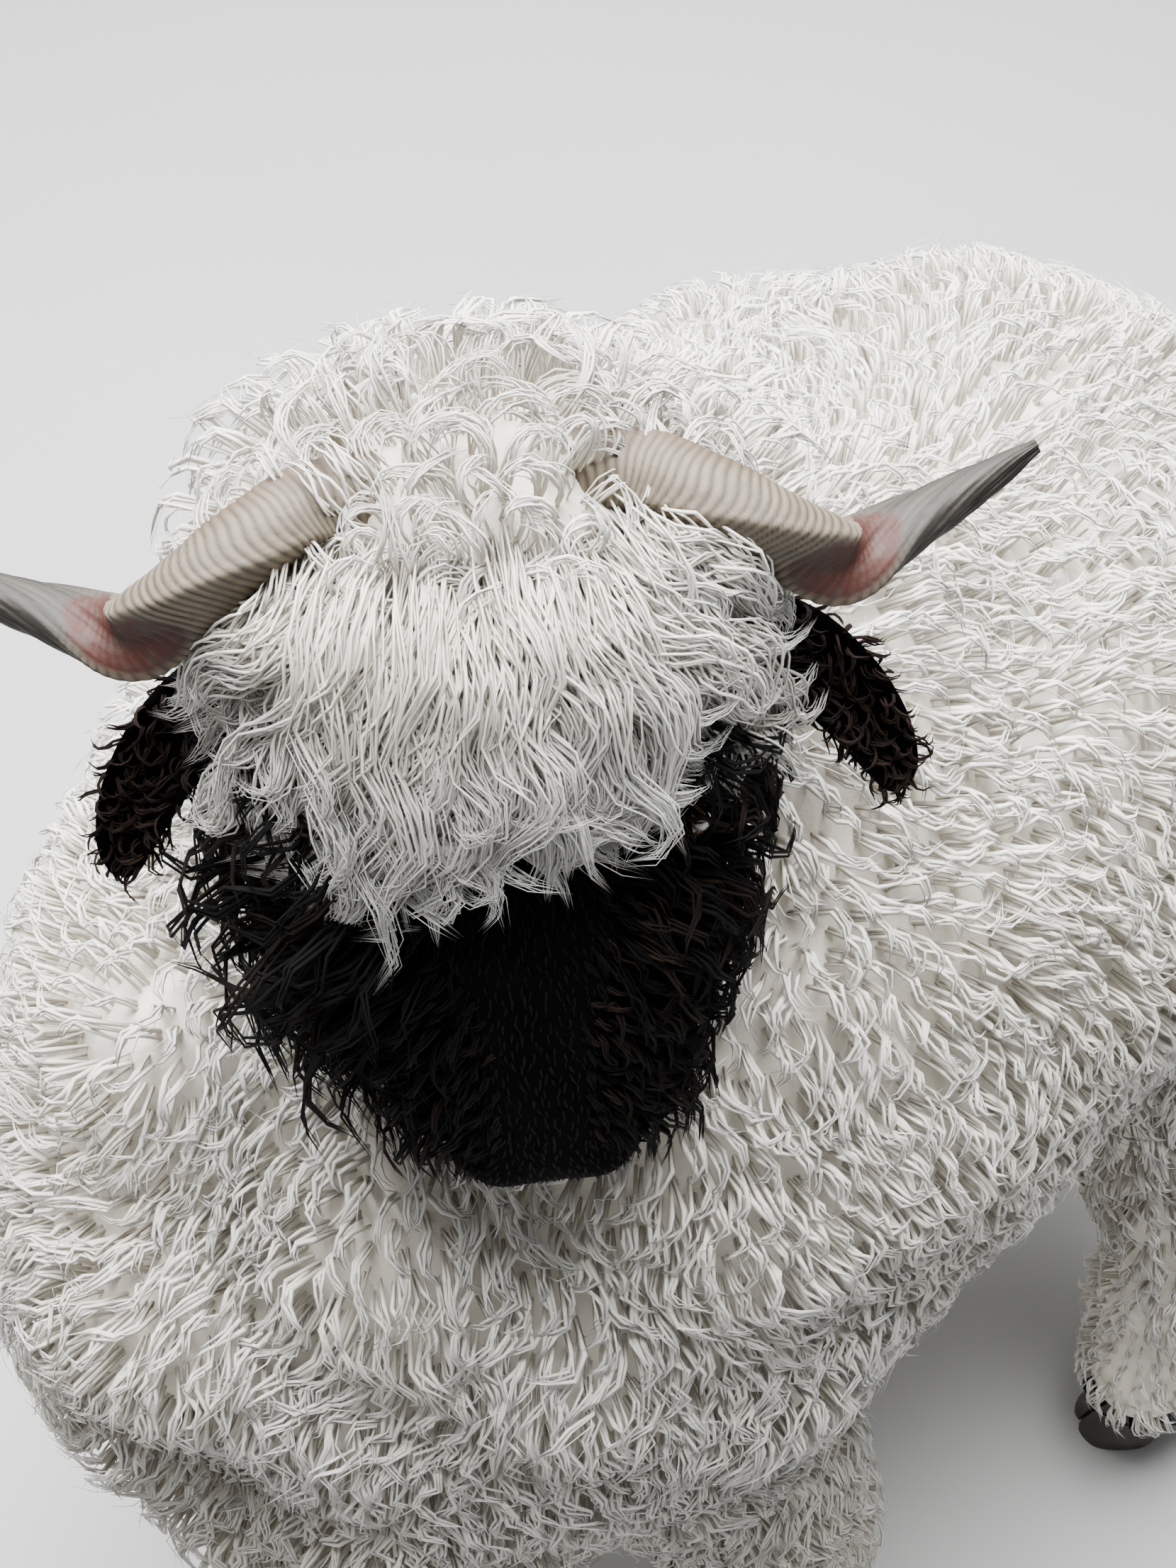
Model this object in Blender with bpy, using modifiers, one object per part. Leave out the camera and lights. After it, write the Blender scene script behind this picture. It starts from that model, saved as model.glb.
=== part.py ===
"""A Valais Blacknose sheep as a still, life-size museum model.

Metres, +Z up. The sheep faces -Y, and +X is its left side. Its trunk bends towards its left,
and the neck turns further that way, so the lowered face looks out over the left shoulder.
The origin is on the floor, under the middle of the whole animal.
"""
import math

import bmesh
import bpy
import numpy as np
from mathutils import Matrix, Vector
from mathutils.bvhtree import BVHTree

GAP = 0.0003                     # air between two nodes that meet
BIG = 3.0                        # a block larger than the animal, for cutting with one face
SEED = 11                        # of all the variation among clumps and locks

# Fleece: a core at half its depth, covered by rounded clumps out to the outline
GUIDE_VOXEL = 0.016              # of the even skins on which the fleece is laid out
GUIDE_SOFTENING = 14
GUIDE_FACES = 6000
CORE_FACES = 1500
SOFTENING_LOSS = 0.008           # taken off the body's forms where they are softened
BODY_FACES = 6900                # of the whole body with its clumps
HEAD_FACES = 2200                # of the head with its wool, before its features
TAIL_FACES = 620
CORE_DEPTH = 0.042               # of the core below the tips, on trunk and neck
LEG_CORE_DEPTH = 0.018
CLUMP_SPACING = 0.100
CLUMP_HALF_WIDTH = 0.057
CLUMP_HALF_DEPTH = 0.036
LEG_CLUMP_SCALE = 0.68           # clumps on legs and tail against those of the trunk
CLUMP_LEAN = 0.35                # how far a clump's tip leans along the lie, in half widths
LEG_WOOL = (0.085, 0.300)        # heights between which the leg's smaller clumps grow

# Trunk, measured to the tips of the fleece
BEND_RADIUS = 0.50               # plan radius of the spine's bend towards the left
SPINE_X = -0.030                 # where the middle of the spine stands
TRUNK = (                        # place along the spine, half width, top, underside
    (-0.475, 0.020, 0.490, 0.440),
    (-0.455, 0.132, 0.620, 0.335),
    (-0.405, 0.200, 0.722, 0.278),
    (-0.325, 0.238, 0.805, 0.264),
    (-0.225, 0.256, 0.848, 0.282),
    (-0.090, 0.262, 0.851, 0.310),
    (0.030, 0.262, 0.853, 0.340),
    (0.105, 0.248, 0.842, 0.366),
    (0.180, 0.214, 0.806, 0.400),
    (0.250, 0.172, 0.750, 0.438),
    (0.310, 0.124, 0.690, 0.476),
    (0.348, 0.070, 0.636, 0.512),
    (0.362, 0.020, 0.595, 0.550),
)
TRUNK_POWER = 2.35               # a little fuller than an ellipse

# Neck: an upright column that leans on the shoulders, and the nape behind the head
NECK = (                         # centre, half length along the facing, half width
    ((0.010, -0.150, 0.560), 0.150, 0.170),
    ((0.002, -0.180, 0.700), 0.165, 0.170),
    ((0.000, -0.205, 0.820), 0.145, 0.155),
    ((0.006, -0.222, 0.910), 0.118, 0.132),
    ((0.010, -0.228, 0.965), 0.074, 0.084),
    ((0.012, -0.230, 0.984), 0.020, 0.020),
)
CREST = (                        # centre, radius
    ((0.018, -0.215, 0.870), 0.105),
    ((0.010, -0.160, 0.815), 0.130),
    ((0.008, -0.080, 0.745), 0.145),
    ((0.012, 0.000, 0.690), 0.140),
)
NAPE_CENTRE = (0.036, -0.243, 0.908)
NAPE_RADII = (0.122, 0.118, 0.110)
NECK_BACK = (-0.020, 0.880)      # place along the spine and height where the neck ends
NECK_FRONT = (-0.455, 0.480)

# Head frame: x to the sheep's right, y from the poll to the muzzle, z out of the forehead
POLL = (0.0780, -0.2600, 0.985)
HEAD_YAW = math.radians(65)      # from -Y towards +X
HEAD_DROP = math.radians(58)     # the face's slope below the horizontal
HEAD_TILT = math.radians(2.5)    # the left side of the head is the higher one
SKULL = (                        # place from poll to muzzle, half width, front, back
    (-0.050, 0.030, 0.018, -0.030),
    (-0.040, 0.052, 0.030, -0.066),
    (-0.010, 0.068, 0.038, -0.096),
    (0.040, 0.074, 0.043, -0.112),
    (0.090, 0.074, 0.043, -0.116),
    (0.135, 0.066, 0.038, -0.108),
    (0.175, 0.054, 0.030, -0.094),
    (0.205, 0.047, 0.021, -0.083),
    (0.230, 0.043, 0.010, -0.077),
    (0.249, 0.038, -0.002, -0.072),
    (0.263, 0.028, -0.020, -0.060),
    (0.268, 0.008, -0.034, -0.044),
)
FACE_WOOL = (                    # the same, out to the tips of the wool on cheeks and jaw
    (-0.030, 0.060, 0.040, -0.092),
    (0.010, 0.088, 0.046, -0.116),
    (0.050, 0.096, 0.047, -0.132),
    (0.095, 0.101, 0.043, -0.136),
    (0.140, 0.102, 0.038, -0.130),
    (0.180, 0.097, 0.030, -0.118),
    (0.212, 0.087, 0.020, -0.104),
    (0.234, 0.070, 0.010, -0.090),
)
HEAD_ROOM = (                    # the same, round the whole head with its wool
    (-0.098, 0.020, 0.040, -0.005),
    (-0.086, 0.076, 0.076, -0.052),
    (-0.045, 0.108, 0.098, -0.088),
    (0.020, 0.126, 0.106, -0.126),
    (0.080, 0.130, 0.102, -0.144),
    (0.135, 0.122, 0.090, -0.142),
    (0.178, 0.108, 0.070, -0.128),
    (0.214, 0.092, 0.048, -0.110),
    (0.244, 0.066, 0.030, -0.095),
    (0.268, 0.048, 0.012, -0.080),
    (0.284, 0.036, -0.006, -0.066),
    (0.290, 0.010, -0.028, -0.042),
)
SKULL_POWER = 2.2
EYE_PLACE = (0.0590, 0.098, 0.006)
EYE_RADIUS = 0.0135
EYE_LOOK = (0.86, 0.02, 0.50)    # outward direction of the eye
LID_RING = (0.0065, 0.0170, 0.0115)  # lids' rim: out from the eye's middle, half length, half height
LID_HALVES = (0.0042, 0.0032)
LID_STEPS = 14
CAP_CENTRE = (0.0, 0.012, -0.002)  # the woolly crown between the horns, under locks and curls
CAP_RADII = (0.084, 0.078, 0.058)
STEM_CENTRE = (0.0, 0.050, -0.108)  # the throat, where the head meets the neck
STEM_RADII = (0.068, 0.078, 0.050)
LOCK_HEIGHT = 0.084              # of the forelock's top above the face, at the parting
LOCK_SIDE_FALL = 4.6             # its fall to the sides and down the face, for each square metre
LOCK_FRONT_FALL = 1.75
LOCK_TIERS = (                   # locks, root y, tip y in the middle, half spread, drop, half width
    (12, 0.022, 0.118, 0.096, 0.016, 0.0150),
    (11, 0.008, 0.090, 0.098, 0.005, 0.0165),
)
LOCK_SIDE_REACH = 0.26           # how much longer the outer locks are than the middle ones
LOCK_LEAN = 0.10                 # how much further the locks of the right side reach
LOCK_THICKNESS = 0.45            # of a lock against its width
LOCK_SWAY = 0.0110
LOCK_SEGMENTS = 6
LOCK_ROOT_SINK = 0.022           # of a lock's root into the crown
LOCK_TIP_LIFT = 0.008
CURL_SPACING = 0.036
CURL_SIZE = 0.022
CURL_DEPTH = 0.016               # of the curls over the crown
CHEEK_SPACING = 0.041
CHEEK_SIZE = (0.026, 0.031, 0.014)
HORN_PATH = (                    # centre, wide half, narrow half, twist in degrees
    ((0.030, -0.030, 0.012), 0.0165, 0.0130, 0),
    ((0.055, -0.029, 0.026), 0.0170, 0.0130, 10),
    ((0.0735, -0.0215, 0.037), 0.0165, 0.0125, 25),
    ((0.092, -0.012, 0.041), 0.0160, 0.0120, 50),
    ((0.108, -0.001, 0.036), 0.0160, 0.0115, 80),
    ((0.120, 0.007, 0.028), 0.0160, 0.0110, 115),
    ((0.137, 0.0045, 0.018), 0.0140, 0.0100, 150),
    ((0.159, -0.004, 0.011), 0.0110, 0.0080, 180),
    ((0.181, -0.013, 0.005), 0.0070, 0.0050, 200),
    ((0.195, -0.019, 0.001), 0.0025, 0.0020, 210),
)
MOUTH_MIDDLE = (0.222, -0.052)   # y and z round which the line of the mouth runs
MOUTH_TURN = math.radians(118)   # of each corner from straight ahead
MOUTH_DROP = 0.010               # of the corners below the middle
MOUTH_STEPS = 12
GROOVE_DEPTH = 0.0035
GROOVE_REACH = 0.006             # of the groove's cutter out of the muzzle
GROOVE_HALF_HEIGHT = 0.0022
LIP_HALVES = (0.003, 0.0036)
LIP_HEIGHT = 0.0045              # of each lip's middle above or below the line of the mouth
NOSTRIL_PLACE = (0.0175, 0.249, -0.018)
NOSTRIL_RADII = (0.0045, 0.0090, 0.0105)
NOSTRIL_ROLL = math.radians(-28)
NOSTRIL_PITCH = math.radians(20)
EAR_PATH = ((0.074, 0.030, -0.022), (0.130, 0.050, -0.012), (0.152, 0.120, -0.040))
EAR_HALF_WIDTH = 0.027
EAR_THICK = 0.0055
EAR_CUP = 0.013                  # depth of the ear's cup

# Legs, to the tips of their wool
LEG_CUT = 0.266                  # level at which the legs part from the trunk
FORE_FEET = {"left": (0.222, -0.158), "right": (0.075, -0.395)}
HIND_FEET = {"left": (0.232, 0.145), "right": (-0.075, 0.300)}
FORE_ROOT = (-0.300, 0.110)      # place along the spine, and distance from the midline
HIND_ROOT = (0.215, 0.108)
HOOF_TOP = 0.052
CLAW_LENGTH = 0.056
CLAW_WIDTH = 0.023
CLEFT = 0.003                    # air between the two claws of a foot at the toe
CLAW_LEVELS = ((0.0, 1.0, 0.0), (0.016, 0.97, 0.003), (0.032, 0.84, 0.008), (0.044, 0.66, 0.011))
CLAW_OUTLINE = (                 # in claw widths and lengths, heel to toe and back
    (0.0, 0.42), (0.5, 0.50), (0.95, 0.30), (1.0, -0.05), (0.80, -0.38), (0.30, -0.52), (0.0, -0.50),
)
PASTERN = ((0.022, 0.016), (0.040, 0.020), (HOOF_TOP, 0.024))  # height, half length
PASTERN_HALF_WIDTH = 0.0215
PASTERN_BACK = 0.010
FORE_LEG = (                     # height, share of the way to the foot, half width, half length, back
    (0.470, 0.00, 0.090, 0.095, 0.000),
    (0.360, 0.20, 0.095, 0.100, 0.000),
    (0.300, 0.45, 0.088, 0.092, 0.000),
    (0.200, 0.80, 0.074, 0.077, 0.005),
    (0.120, 0.96, 0.063, 0.066, 0.000),
    (0.085, 1.00, 0.052, 0.052, 0.000),
    (0.058, 1.00, 0.034, 0.036, 0.000),
    (0.020, 1.00, 0.026, 0.030, 0.000),
)
HIND_LEG = (
    (0.520, 0.00, 0.090, 0.110, 0.000),
    (0.400, 0.15, 0.092, 0.112, -0.005),
    (0.320, 0.40, 0.080, 0.092, 0.015),
    (0.230, 0.80, 0.070, 0.078, 0.040),
    (0.130, 0.97, 0.062, 0.066, 0.015),
    (0.085, 1.00, 0.052, 0.052, 0.000),
    (0.058, 1.00, 0.034, 0.036, 0.000),
    (0.020, 1.00, 0.026, 0.030, 0.000),
)

# Tail, to the tips of its wool
TAIL_TOP = 0.650
TAIL_TIP = 0.300
TAIL_HALF_WIDTH = 0.060
TAIL_SEAT = 0.048                # depth of the tail's groove in front of the rump's end
TAIL_SIDE = 0.012                # room in the groove on either side of the tail
TAIL = (                         # height, behind the rump's end, half width, half depth
    (TAIL_TOP, -0.040, 0.030, 0.030),
    (TAIL_TOP - 0.045, -0.018, 0.052, 0.046),
    (0.530, -0.006, TAIL_HALF_WIDTH, 0.052),
    (0.420, -0.004, TAIL_HALF_WIDTH, 0.052),
    (0.340, -0.004, 0.048, 0.044),
    (TAIL_TIP, -0.006, 0.018, 0.016),
)

# Colours, linear
WOOL = (0.80, 0.76, 0.68)
BLACK_WOOL = (0.012, 0.010, 0.009)
HORN = (0.36, 0.30, 0.23)
EYE = (0.05, 0.025, 0.010)
HOOF = (0.030, 0.026, 0.022)


def material(name, color, roughness):
    """A plain Principled material."""
    mat = bpy.data.materials.new(name)
    mat.use_nodes = True
    shader = mat.node_tree.nodes["Principled BSDF"]
    shader.inputs["Base Color"].default_value = (*color, 1.0)
    shader.inputs["Roughness"].default_value = roughness
    shader.inputs["Metallic"].default_value = 0.0
    mat.diffuse_color = (*color, 1.0)
    return mat


def add_object(name, mesh, collection):
    """A new object in the collection."""
    obj = bpy.data.objects.new(name, mesh)
    collection.objects.link(obj)
    return obj


def closed_mesh(name, rings, mirror_split=None):
    """A closed skin of triangles through rings of equally many points, first to last.

    From the point numbered mirror_split on, the triangles are split the other way, so that
    the two faces of a thin curved leaf are split alike.
    """
    bm = bmesh.new()
    rows = [[bm.verts.new(point) for point in ring] for ring in rings]
    count = len(rows[0])
    for low, high in zip(rows, rows[1:]):
        for i in range(count):
            j = (i + 1) % count
            if mirror_split is not None and i >= mirror_split:
                bm.faces.new((low[i], low[j], high[i]))
                bm.faces.new((low[j], high[j], high[i]))
            else:
                bm.faces.new((low[i], low[j], high[j]))
                bm.faces.new((low[i], high[j], high[i]))
    bm.faces.new(tuple(reversed(rows[0])))
    bm.faces.new(tuple(rows[-1]))
    bmesh.ops.triangulate(bm, faces=[face for face in bm.faces if len(face.verts) > 3])
    bmesh.ops.recalc_face_normals(bm, faces=bm.faces)
    mesh = bpy.data.meshes.new(name)
    bm.to_mesh(mesh)
    bm.free()
    return mesh


def ball(name, matrix, segments=14, rings=10):
    """A closed ball of radius 1, placed by the matrix."""
    bm = bmesh.new()
    bmesh.ops.create_uvsphere(bm, u_segments=segments, v_segments=rings, radius=1.0)
    bmesh.ops.triangulate(bm, faces=bm.faces)
    bmesh.ops.transform(bm, matrix=matrix, verts=bm.verts)
    bmesh.ops.recalc_face_normals(bm, faces=bm.faces)
    mesh = bpy.data.meshes.new(name)
    bm.to_mesh(mesh)
    bm.free()
    return mesh


def smooth(stations, steps):
    """Catmull-Rom curve through rows of numbers, with steps points to each span."""
    rows = np.array(stations, dtype=float)
    padded = np.vstack((2 * rows[0] - rows[1], rows, 2 * rows[-1] - rows[-2]))
    result = []
    for k in range(len(rows) - 1):
        before, start, end, after = padded[k:k + 4]
        for i in range(steps):
            t = i / steps
            result.append(0.5 * (2 * start + (end - before) * t
                                 + (2 * before - 5 * start + 4 * end - after) * t ** 2
                                 + (3 * start - before - 3 * end + after) * t ** 3))
    result.append(rows[-1])
    return result


def bulge(angle, power):
    """Cosine and sine of the angle on a superellipse of radius 1."""
    exponent = 2.0 / power
    c, s = math.cos(angle), math.sin(angle)
    return (math.copysign(abs(c) ** exponent, c), math.copysign(abs(s) ** exponent, s))


def section(centre, side, up, half_width, above, below, count, power):
    """A ring of points round the centre, with its own reach above and below."""
    ring = []
    for i in range(count):
        c, s = bulge(2 * math.pi * i / count, power)
        reach = above if s > 0 else below
        ring.append(centre + side * (half_width * c) + up * (reach * s))
    return ring


def spine(place):
    """Plan point of the spine, and the directions to the tail and to the left."""
    turn = place / BEND_RADIUS
    point = Vector((SPINE_X + BEND_RADIUS * (1 - math.cos(turn)), BEND_RADIUS * math.sin(turn), 0))
    tailward = Vector((math.sin(turn), math.cos(turn), 0))
    return point, tailward, Vector((tailward.y, -tailward.x, 0))


def trunk(inset=0.0):
    """The barrel of the body, from breast to rump."""
    end = TRUNK[-1][0]
    rings = []
    for place, half_width, top, bottom in smooth(TRUNK, 2):
        point, _, left = spine(place * (end - inset) / end)
        middle = point + Vector((0, 0, (top + bottom) / 2))
        half_height = max((top - bottom) / 2 - inset, 0.006)
        half_width = max(half_width - inset, 0.006)
        rings.append(section(middle, left, Vector((0, 0, 1)), half_width, half_height,
                             half_height, 24, TRUNK_POWER))
    return closed_mesh("trunk", rings)


def neck_column(inset=0.0):
    """The neck's upright part. Its sections stand square to the facing of the head."""
    facing = Vector((math.sin(HEAD_YAW), -math.cos(HEAD_YAW), 0))
    side = Vector((math.cos(HEAD_YAW), math.sin(HEAD_YAW), 0))
    rows = [(*centre, length, width) for centre, length, width in NECK]
    rings = []
    for x, y, z, length, width in smooth(rows, 2):
        length, width = max(length - inset, 0.006), max(width - inset, 0.006)
        centre = Vector((x, y, z - inset * (z > NECK[2][0][2])))
        rings.append(section(centre, side, facing, width, length, length, 20, 2.0))
    return closed_mesh("column", rings)


def crest(inset=0.0):
    """The slope of wool from the nape down to the withers."""
    points = [Vector(centre) for centre, _ in CREST]
    return swept("crest", points, [(radius - inset,) * 2 for _, radius in CREST], count=18)


def nape(inset=0.0):
    """The rounded wool between the neck's column and the back of the head."""
    facing = Matrix.Rotation(HEAD_YAW - math.pi / 2, 4, "Z")
    size = Matrix.Diagonal((*[radius - inset for radius in NAPE_RADII], 1))
    return ball("nape", Matrix.Translation(NAPE_CENTRE) @ facing @ size, 18, 12)


def leg_stations(kind, side):
    """Centre, half width and half length of a leg's wool, from inside the trunk to the foot."""
    sign = 1 if side == "left" else -1
    place, aside = FORE_ROOT if kind == "fore" else HIND_ROOT
    foot_x, foot_y = (FORE_FEET if kind == "fore" else HIND_FEET)[side]
    root, _, left = spine(place)
    root += left * (aside * sign)
    rows = []
    for height, share, width, length, back in FORE_LEG if kind == "fore" else HIND_LEG:
        x = root.x + (foot_x - root.x) * share
        y = root.y + (foot_y - root.y) * share + back
        rows.append((x, y, height, width, length))
    return rows


def leg(kind, side, inset=0.0):
    """One woolly leg down to its pastern."""
    rings = []
    for x, y, z, width, length in smooth(leg_stations(kind, side), 2):
        shrink = inset * min(1.0, max(0.0, (z - HOOF_TOP) / HOOF_TOP))
        rings.append(section(Vector((x, y, z)), Vector((1, 0, 0)), Vector((0, -1, 0)),
                             width - shrink, length - shrink, length - shrink, 14, 2.0))
    return closed_mesh("leg", rings)


def tail_rings(inset=0.0):
    """The woolly tail, hung close behind the rump."""
    root, back, left = spine(TRUNK[-1][0])
    rings = []
    for height, away, width, depth in smooth(TAIL, 2):
        centre = root + back * away + Vector((0, 0, height))
        width, depth = max(width - inset, 0.005), max(depth - inset, 0.005)
        rings.append(section(centre, left, back, width, depth, depth, 12, 2.0))
    return rings


def head_frame():
    """Matrix from the head's own frame to the animal's."""
    ahead = Vector((math.cos(HEAD_DROP) * math.sin(HEAD_YAW),
                    -math.cos(HEAD_DROP) * math.cos(HEAD_YAW), -math.sin(HEAD_DROP)))
    out = Vector((math.sin(HEAD_DROP) * math.sin(HEAD_YAW),
                  -math.sin(HEAD_DROP) * math.cos(HEAD_YAW), math.cos(HEAD_DROP)))
    turned = Matrix((ahead.cross(out), ahead, out)).transposed().to_4x4()
    tilt = Matrix.Rotation(HEAD_TILT, 4, "Z")
    return Matrix.Translation(POLL) @ turned @ tilt


def head_loft(name, stations, steps, count, grow=0.0):
    """A closed skin through stations from the poll to the muzzle, in the head frame."""
    middle = (stations[0][0] + stations[-1][0]) / 2
    rings = []
    for place, half_width, front, back in smooth(stations, steps):
        centre = Vector((0, place + math.copysign(grow, place - middle), (front + back) / 2))
        half = (front - back) / 2 + grow
        rings.append(section(centre, Vector((1, 0, 0)), Vector((0, 0, 1)), half_width + grow,
                             half, half, count, SKULL_POWER))
    return closed_mesh(name, rings)


def skull():
    """The head without its wool, in the head frame."""
    return head_loft("skull", SKULL, 2, 18)


def head_room(grow=0.0):
    """The room that the head takes up in the fleece of neck and breast, in the head frame."""
    return head_loft("room", HEAD_ROOM, 1, 16, grow)


def sign_of(side):
    """Sign of x on one side of the head, in the head frame."""
    return -1 if side == "left" else 1


def mirrored(points, side):
    """Points given for the right half of the head, on the side that is asked for."""
    return [Vector((point[0] * sign_of(side), point[1], point[2])) for point in points]


def swept(name, path, radii, turns=None, count=10, across=Vector((0, 0, 1))):
    """A closed tube along the path, its wide axis turned from the given direction."""
    rings = []
    for i, point in enumerate(path):
        along = (path[min(i + 1, len(path) - 1)] - path[max(i - 1, 0)]).normalized()
        wide = (across - along * across.dot(along)).normalized()
        if turns:
            wide = Matrix.Rotation(turns[i], 3, along) @ wide
        narrow = along.cross(wide)
        wide_half, narrow_half = radii[i]
        rings.append(section(point, wide, narrow, wide_half, narrow_half, narrow_half, count, 2.0))
    return closed_mesh(name, rings)


def horn(side, grow=0.0):
    """One ridged horn, which twists as it curls out of the poll."""
    rows = smooth([(*centre, wide, narrow, twist) for centre, wide, narrow, twist in HORN_PATH], 3)
    path = mirrored([row[:3] for row in rows], side)
    radii, turns = [], []
    sign = sign_of(side)
    for i, row in enumerate(rows):
        ridge = 1.0 + 0.05 * (i % 2) * (i < len(rows) - 6)
        radii.append((row[3] * ridge + grow, row[4] * ridge + grow))
        turns.append(math.radians(row[5]) * sign)
    path[0] += (path[0] - path[1]).normalized() * grow
    path[-1] += (path[-1] - path[-2]).normalized() * grow
    return swept("horn", path, radii, turns, 8)


def ear(side, grow=0.0):
    """One hanging ear: a leaf, cupped along its length, in the head frame."""
    start, bend, tip = (Vector(point) for point in EAR_PATH)
    steps, arc = 9, 6
    sign = sign_of(side)
    rings = []
    for k in range(steps + 1):
        t = k / steps
        centre = start * (1 - t) ** 2 + bend * (2 * t * (1 - t)) + tip * t ** 2
        along = ((bend - start) * (1 - t) + (tip - bend) * t).normalized()
        centre += along * (grow * (-1 if k == 0 else k == steps))
        out = Vector((0.15, -0.25, 0.95))
        out = (out - along * out.dot(along)).normalized()
        wide = along.cross(out)
        half = EAR_HALF_WIDTH * (0.50 + 0.75 * t) if t < 0.4 else \
            EAR_HALF_WIDTH * 0.80 * math.sqrt(max(0.0, 1 - ((t - 0.4) / 0.62) ** 2)) ** 0.8
        cup = EAR_CUP * min(1.0, half / EAR_HALF_WIDTH) * (1 - 0.3 * t)
        thick = EAR_THICK * (0.6 + 0.8 * (1 - t))
        half += grow
        front, back = [], []
        for i in range(arc + 1):
            a = -1 + 2 * i / arc
            base = centre + wide * (half * a) + out * (cup * (a * a - 0.5))
            reach = thick * (0.25 + 0.75 * math.sqrt(max(0.0, 1 - a ** 4))) / 2 + 1.3 * grow
            front.append(base + out * reach)
            back.append(base - out * reach)
        ring = front + back[::-1]
        rings.append([Vector((point.x * sign, point.y, point.z)) for point in ring])
    return closed_mesh("ear", rings, arc + 1)


def eyeball(side, grow=0.0):
    """One eye, in the head frame."""
    place = mirrored([EYE_PLACE], side)[0]
    size = EYE_RADIUS + grow
    return ball("eye", Matrix.Translation(place) @ Matrix.Diagonal((size, size, size, 1)), 10, 6)


def eyelids(side):
    """The rim of both lids, an almond ring round the eye, in the head frame."""
    place, look = mirrored([EYE_PLACE, EYE_LOOK], side)
    look.normalize()
    ahead = (Vector((0, 1, 0)) - look * look.y).normalized()
    lift = look.cross(ahead)
    out, length, height = LID_RING
    path = []
    for i in range(LID_STEPS):
        a = 2 * math.pi * i / LID_STEPS
        path.append(place + look * out + ahead * (length * math.cos(a)) + lift * (height * math.sin(a)))
    bm = bmesh.new()
    rows = []
    for i, point in enumerate(path):
        along = (path[(i + 1) % LID_STEPS] - path[i - 1]).normalized()
        ring = section(point, look, along.cross(look), LID_HALVES[0], LID_HALVES[1], LID_HALVES[1], 6, 2.0)
        rows.append([bm.verts.new(corner) for corner in ring])
    for i in range(LID_STEPS):
        low, high = rows[i], rows[(i + 1) % LID_STEPS]
        for j in range(6):
            k = (j + 1) % 6
            bm.faces.new((low[j], low[k], high[k]))
            bm.faces.new((low[j], high[k], high[j]))
    bmesh.ops.recalc_face_normals(bm, faces=bm.faces)
    mesh = bpy.data.meshes.new("lids")
    bm.to_mesh(mesh)
    bm.free()
    return mesh


def mouth_path():
    """Points on the muzzle's surface along the mouth, and the way out of it at each."""
    bm = bmesh.new()
    bm.from_mesh(skull())
    tree = BVHTree.FromBMesh(bm)
    bm.free()
    path = []
    for i in range(MOUTH_STEPS + 1):
        share = 2 * i / MOUTH_STEPS - 1
        out = Vector((-math.sin(share * MOUTH_TURN), math.cos(share * MOUTH_TURN), 0))
        start = Vector((0, MOUTH_MIDDLE[0], MOUTH_MIDDLE[1] - MOUTH_DROP * share ** 2))
        path.append((tree.ray_cast(start, out)[0], out))
    return path


def mouth_groove():
    """The cutter for the line between the lips."""
    up = Vector((0, 0, GROOVE_HALF_HEIGHT))
    rings = []
    for hit, out in mouth_path():
        outer = hit + out * GROOVE_REACH
        rings.append([hit - out * GROOVE_DEPTH, outer - up, outer + up])
    return closed_mesh("groove", rings)


def lip(height):
    """A low rounded lip that follows the mouth at the given height above it."""
    path = [hit + Vector((0, 0, height)) for hit, _ in mouth_path()]
    return swept("lip", path, [LIP_HALVES] * len(path), count=6)


def nostril(side):
    """The cutter for one comma-shaped nostril."""
    place = Matrix.Translation(mirrored([NOSTRIL_PLACE], side)[0])
    roll = Matrix.Rotation(NOSTRIL_ROLL * sign_of(side), 4, "Y")
    pitch = Matrix.Rotation(NOSTRIL_PITCH, 4, "X")
    return ball("nostril", place @ roll @ pitch @ Matrix.Diagonal((*NOSTRIL_RADII, 1)), 10, 6)


def claw(sign):
    """One claw of a foot, toe towards -Y, with its flat sole on the floor."""
    rings = []
    for height, size, lean in CLAW_LEVELS:
        rings.append([Vector((sign * (CLEFT / 2 + x * CLAW_WIDTH * size),
                              y * CLAW_LENGTH * size + lean, height)) for x, y in CLAW_OUTLINE])
    return closed_mesh("claw", rings)


def pastern():
    """The short stem above the claws."""
    rings = []
    for height, length in PASTERN:
        centre = Vector((0, PASTERN_BACK, height))
        rings.append(section(centre, Vector((1, 0, 0)), Vector((0, 1, 0)),
                             PASTERN_HALF_WIDTH, length, length, 12, 2.0))
    return closed_mesh("pastern", rings)


def hoof_turn(kind):
    """Turn of a foot, which points the way the spine heads above it."""
    place = FORE_ROOT[0] if kind == "fore" else HIND_ROOT[0]
    return Matrix.Rotation(-place / BEND_RADIUS, 4, "Z")


def baked(obj):
    """The object's mesh with its modifiers applied."""
    graph = bpy.context.evaluated_depsgraph_get()
    mesh = bpy.data.meshes.new_from_object(obj.evaluated_get(graph))
    obj.modifiers.clear()
    obj.data = mesh
    return obj


def combine(obj, meshes, operation, work, near=None):
    """Join closed meshes to the object, or cut them from it, in one Boolean.

    One closed surface is kept: the largest, or the one whose middle is nearest to a point.
    """
    group = bpy.data.collections.new("pieces")
    work.children.link(group)
    pieces = []
    for mesh in meshes:
        piece = add_object("piece", mesh, group)
        piece.display_type = "WIRE"
        piece.hide_render = True
        pieces.append(piece)
    join = obj.modifiers.new("combine", "BOOLEAN")
    join.operation = operation
    join.operand_type = "COLLECTION"
    join.collection = group
    join.solver = "MANIFOLD"
    baked(obj)
    for piece in pieces:
        bpy.data.objects.remove(piece)
    bpy.data.collections.remove(group)
    return keep_shell(obj, near)


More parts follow.
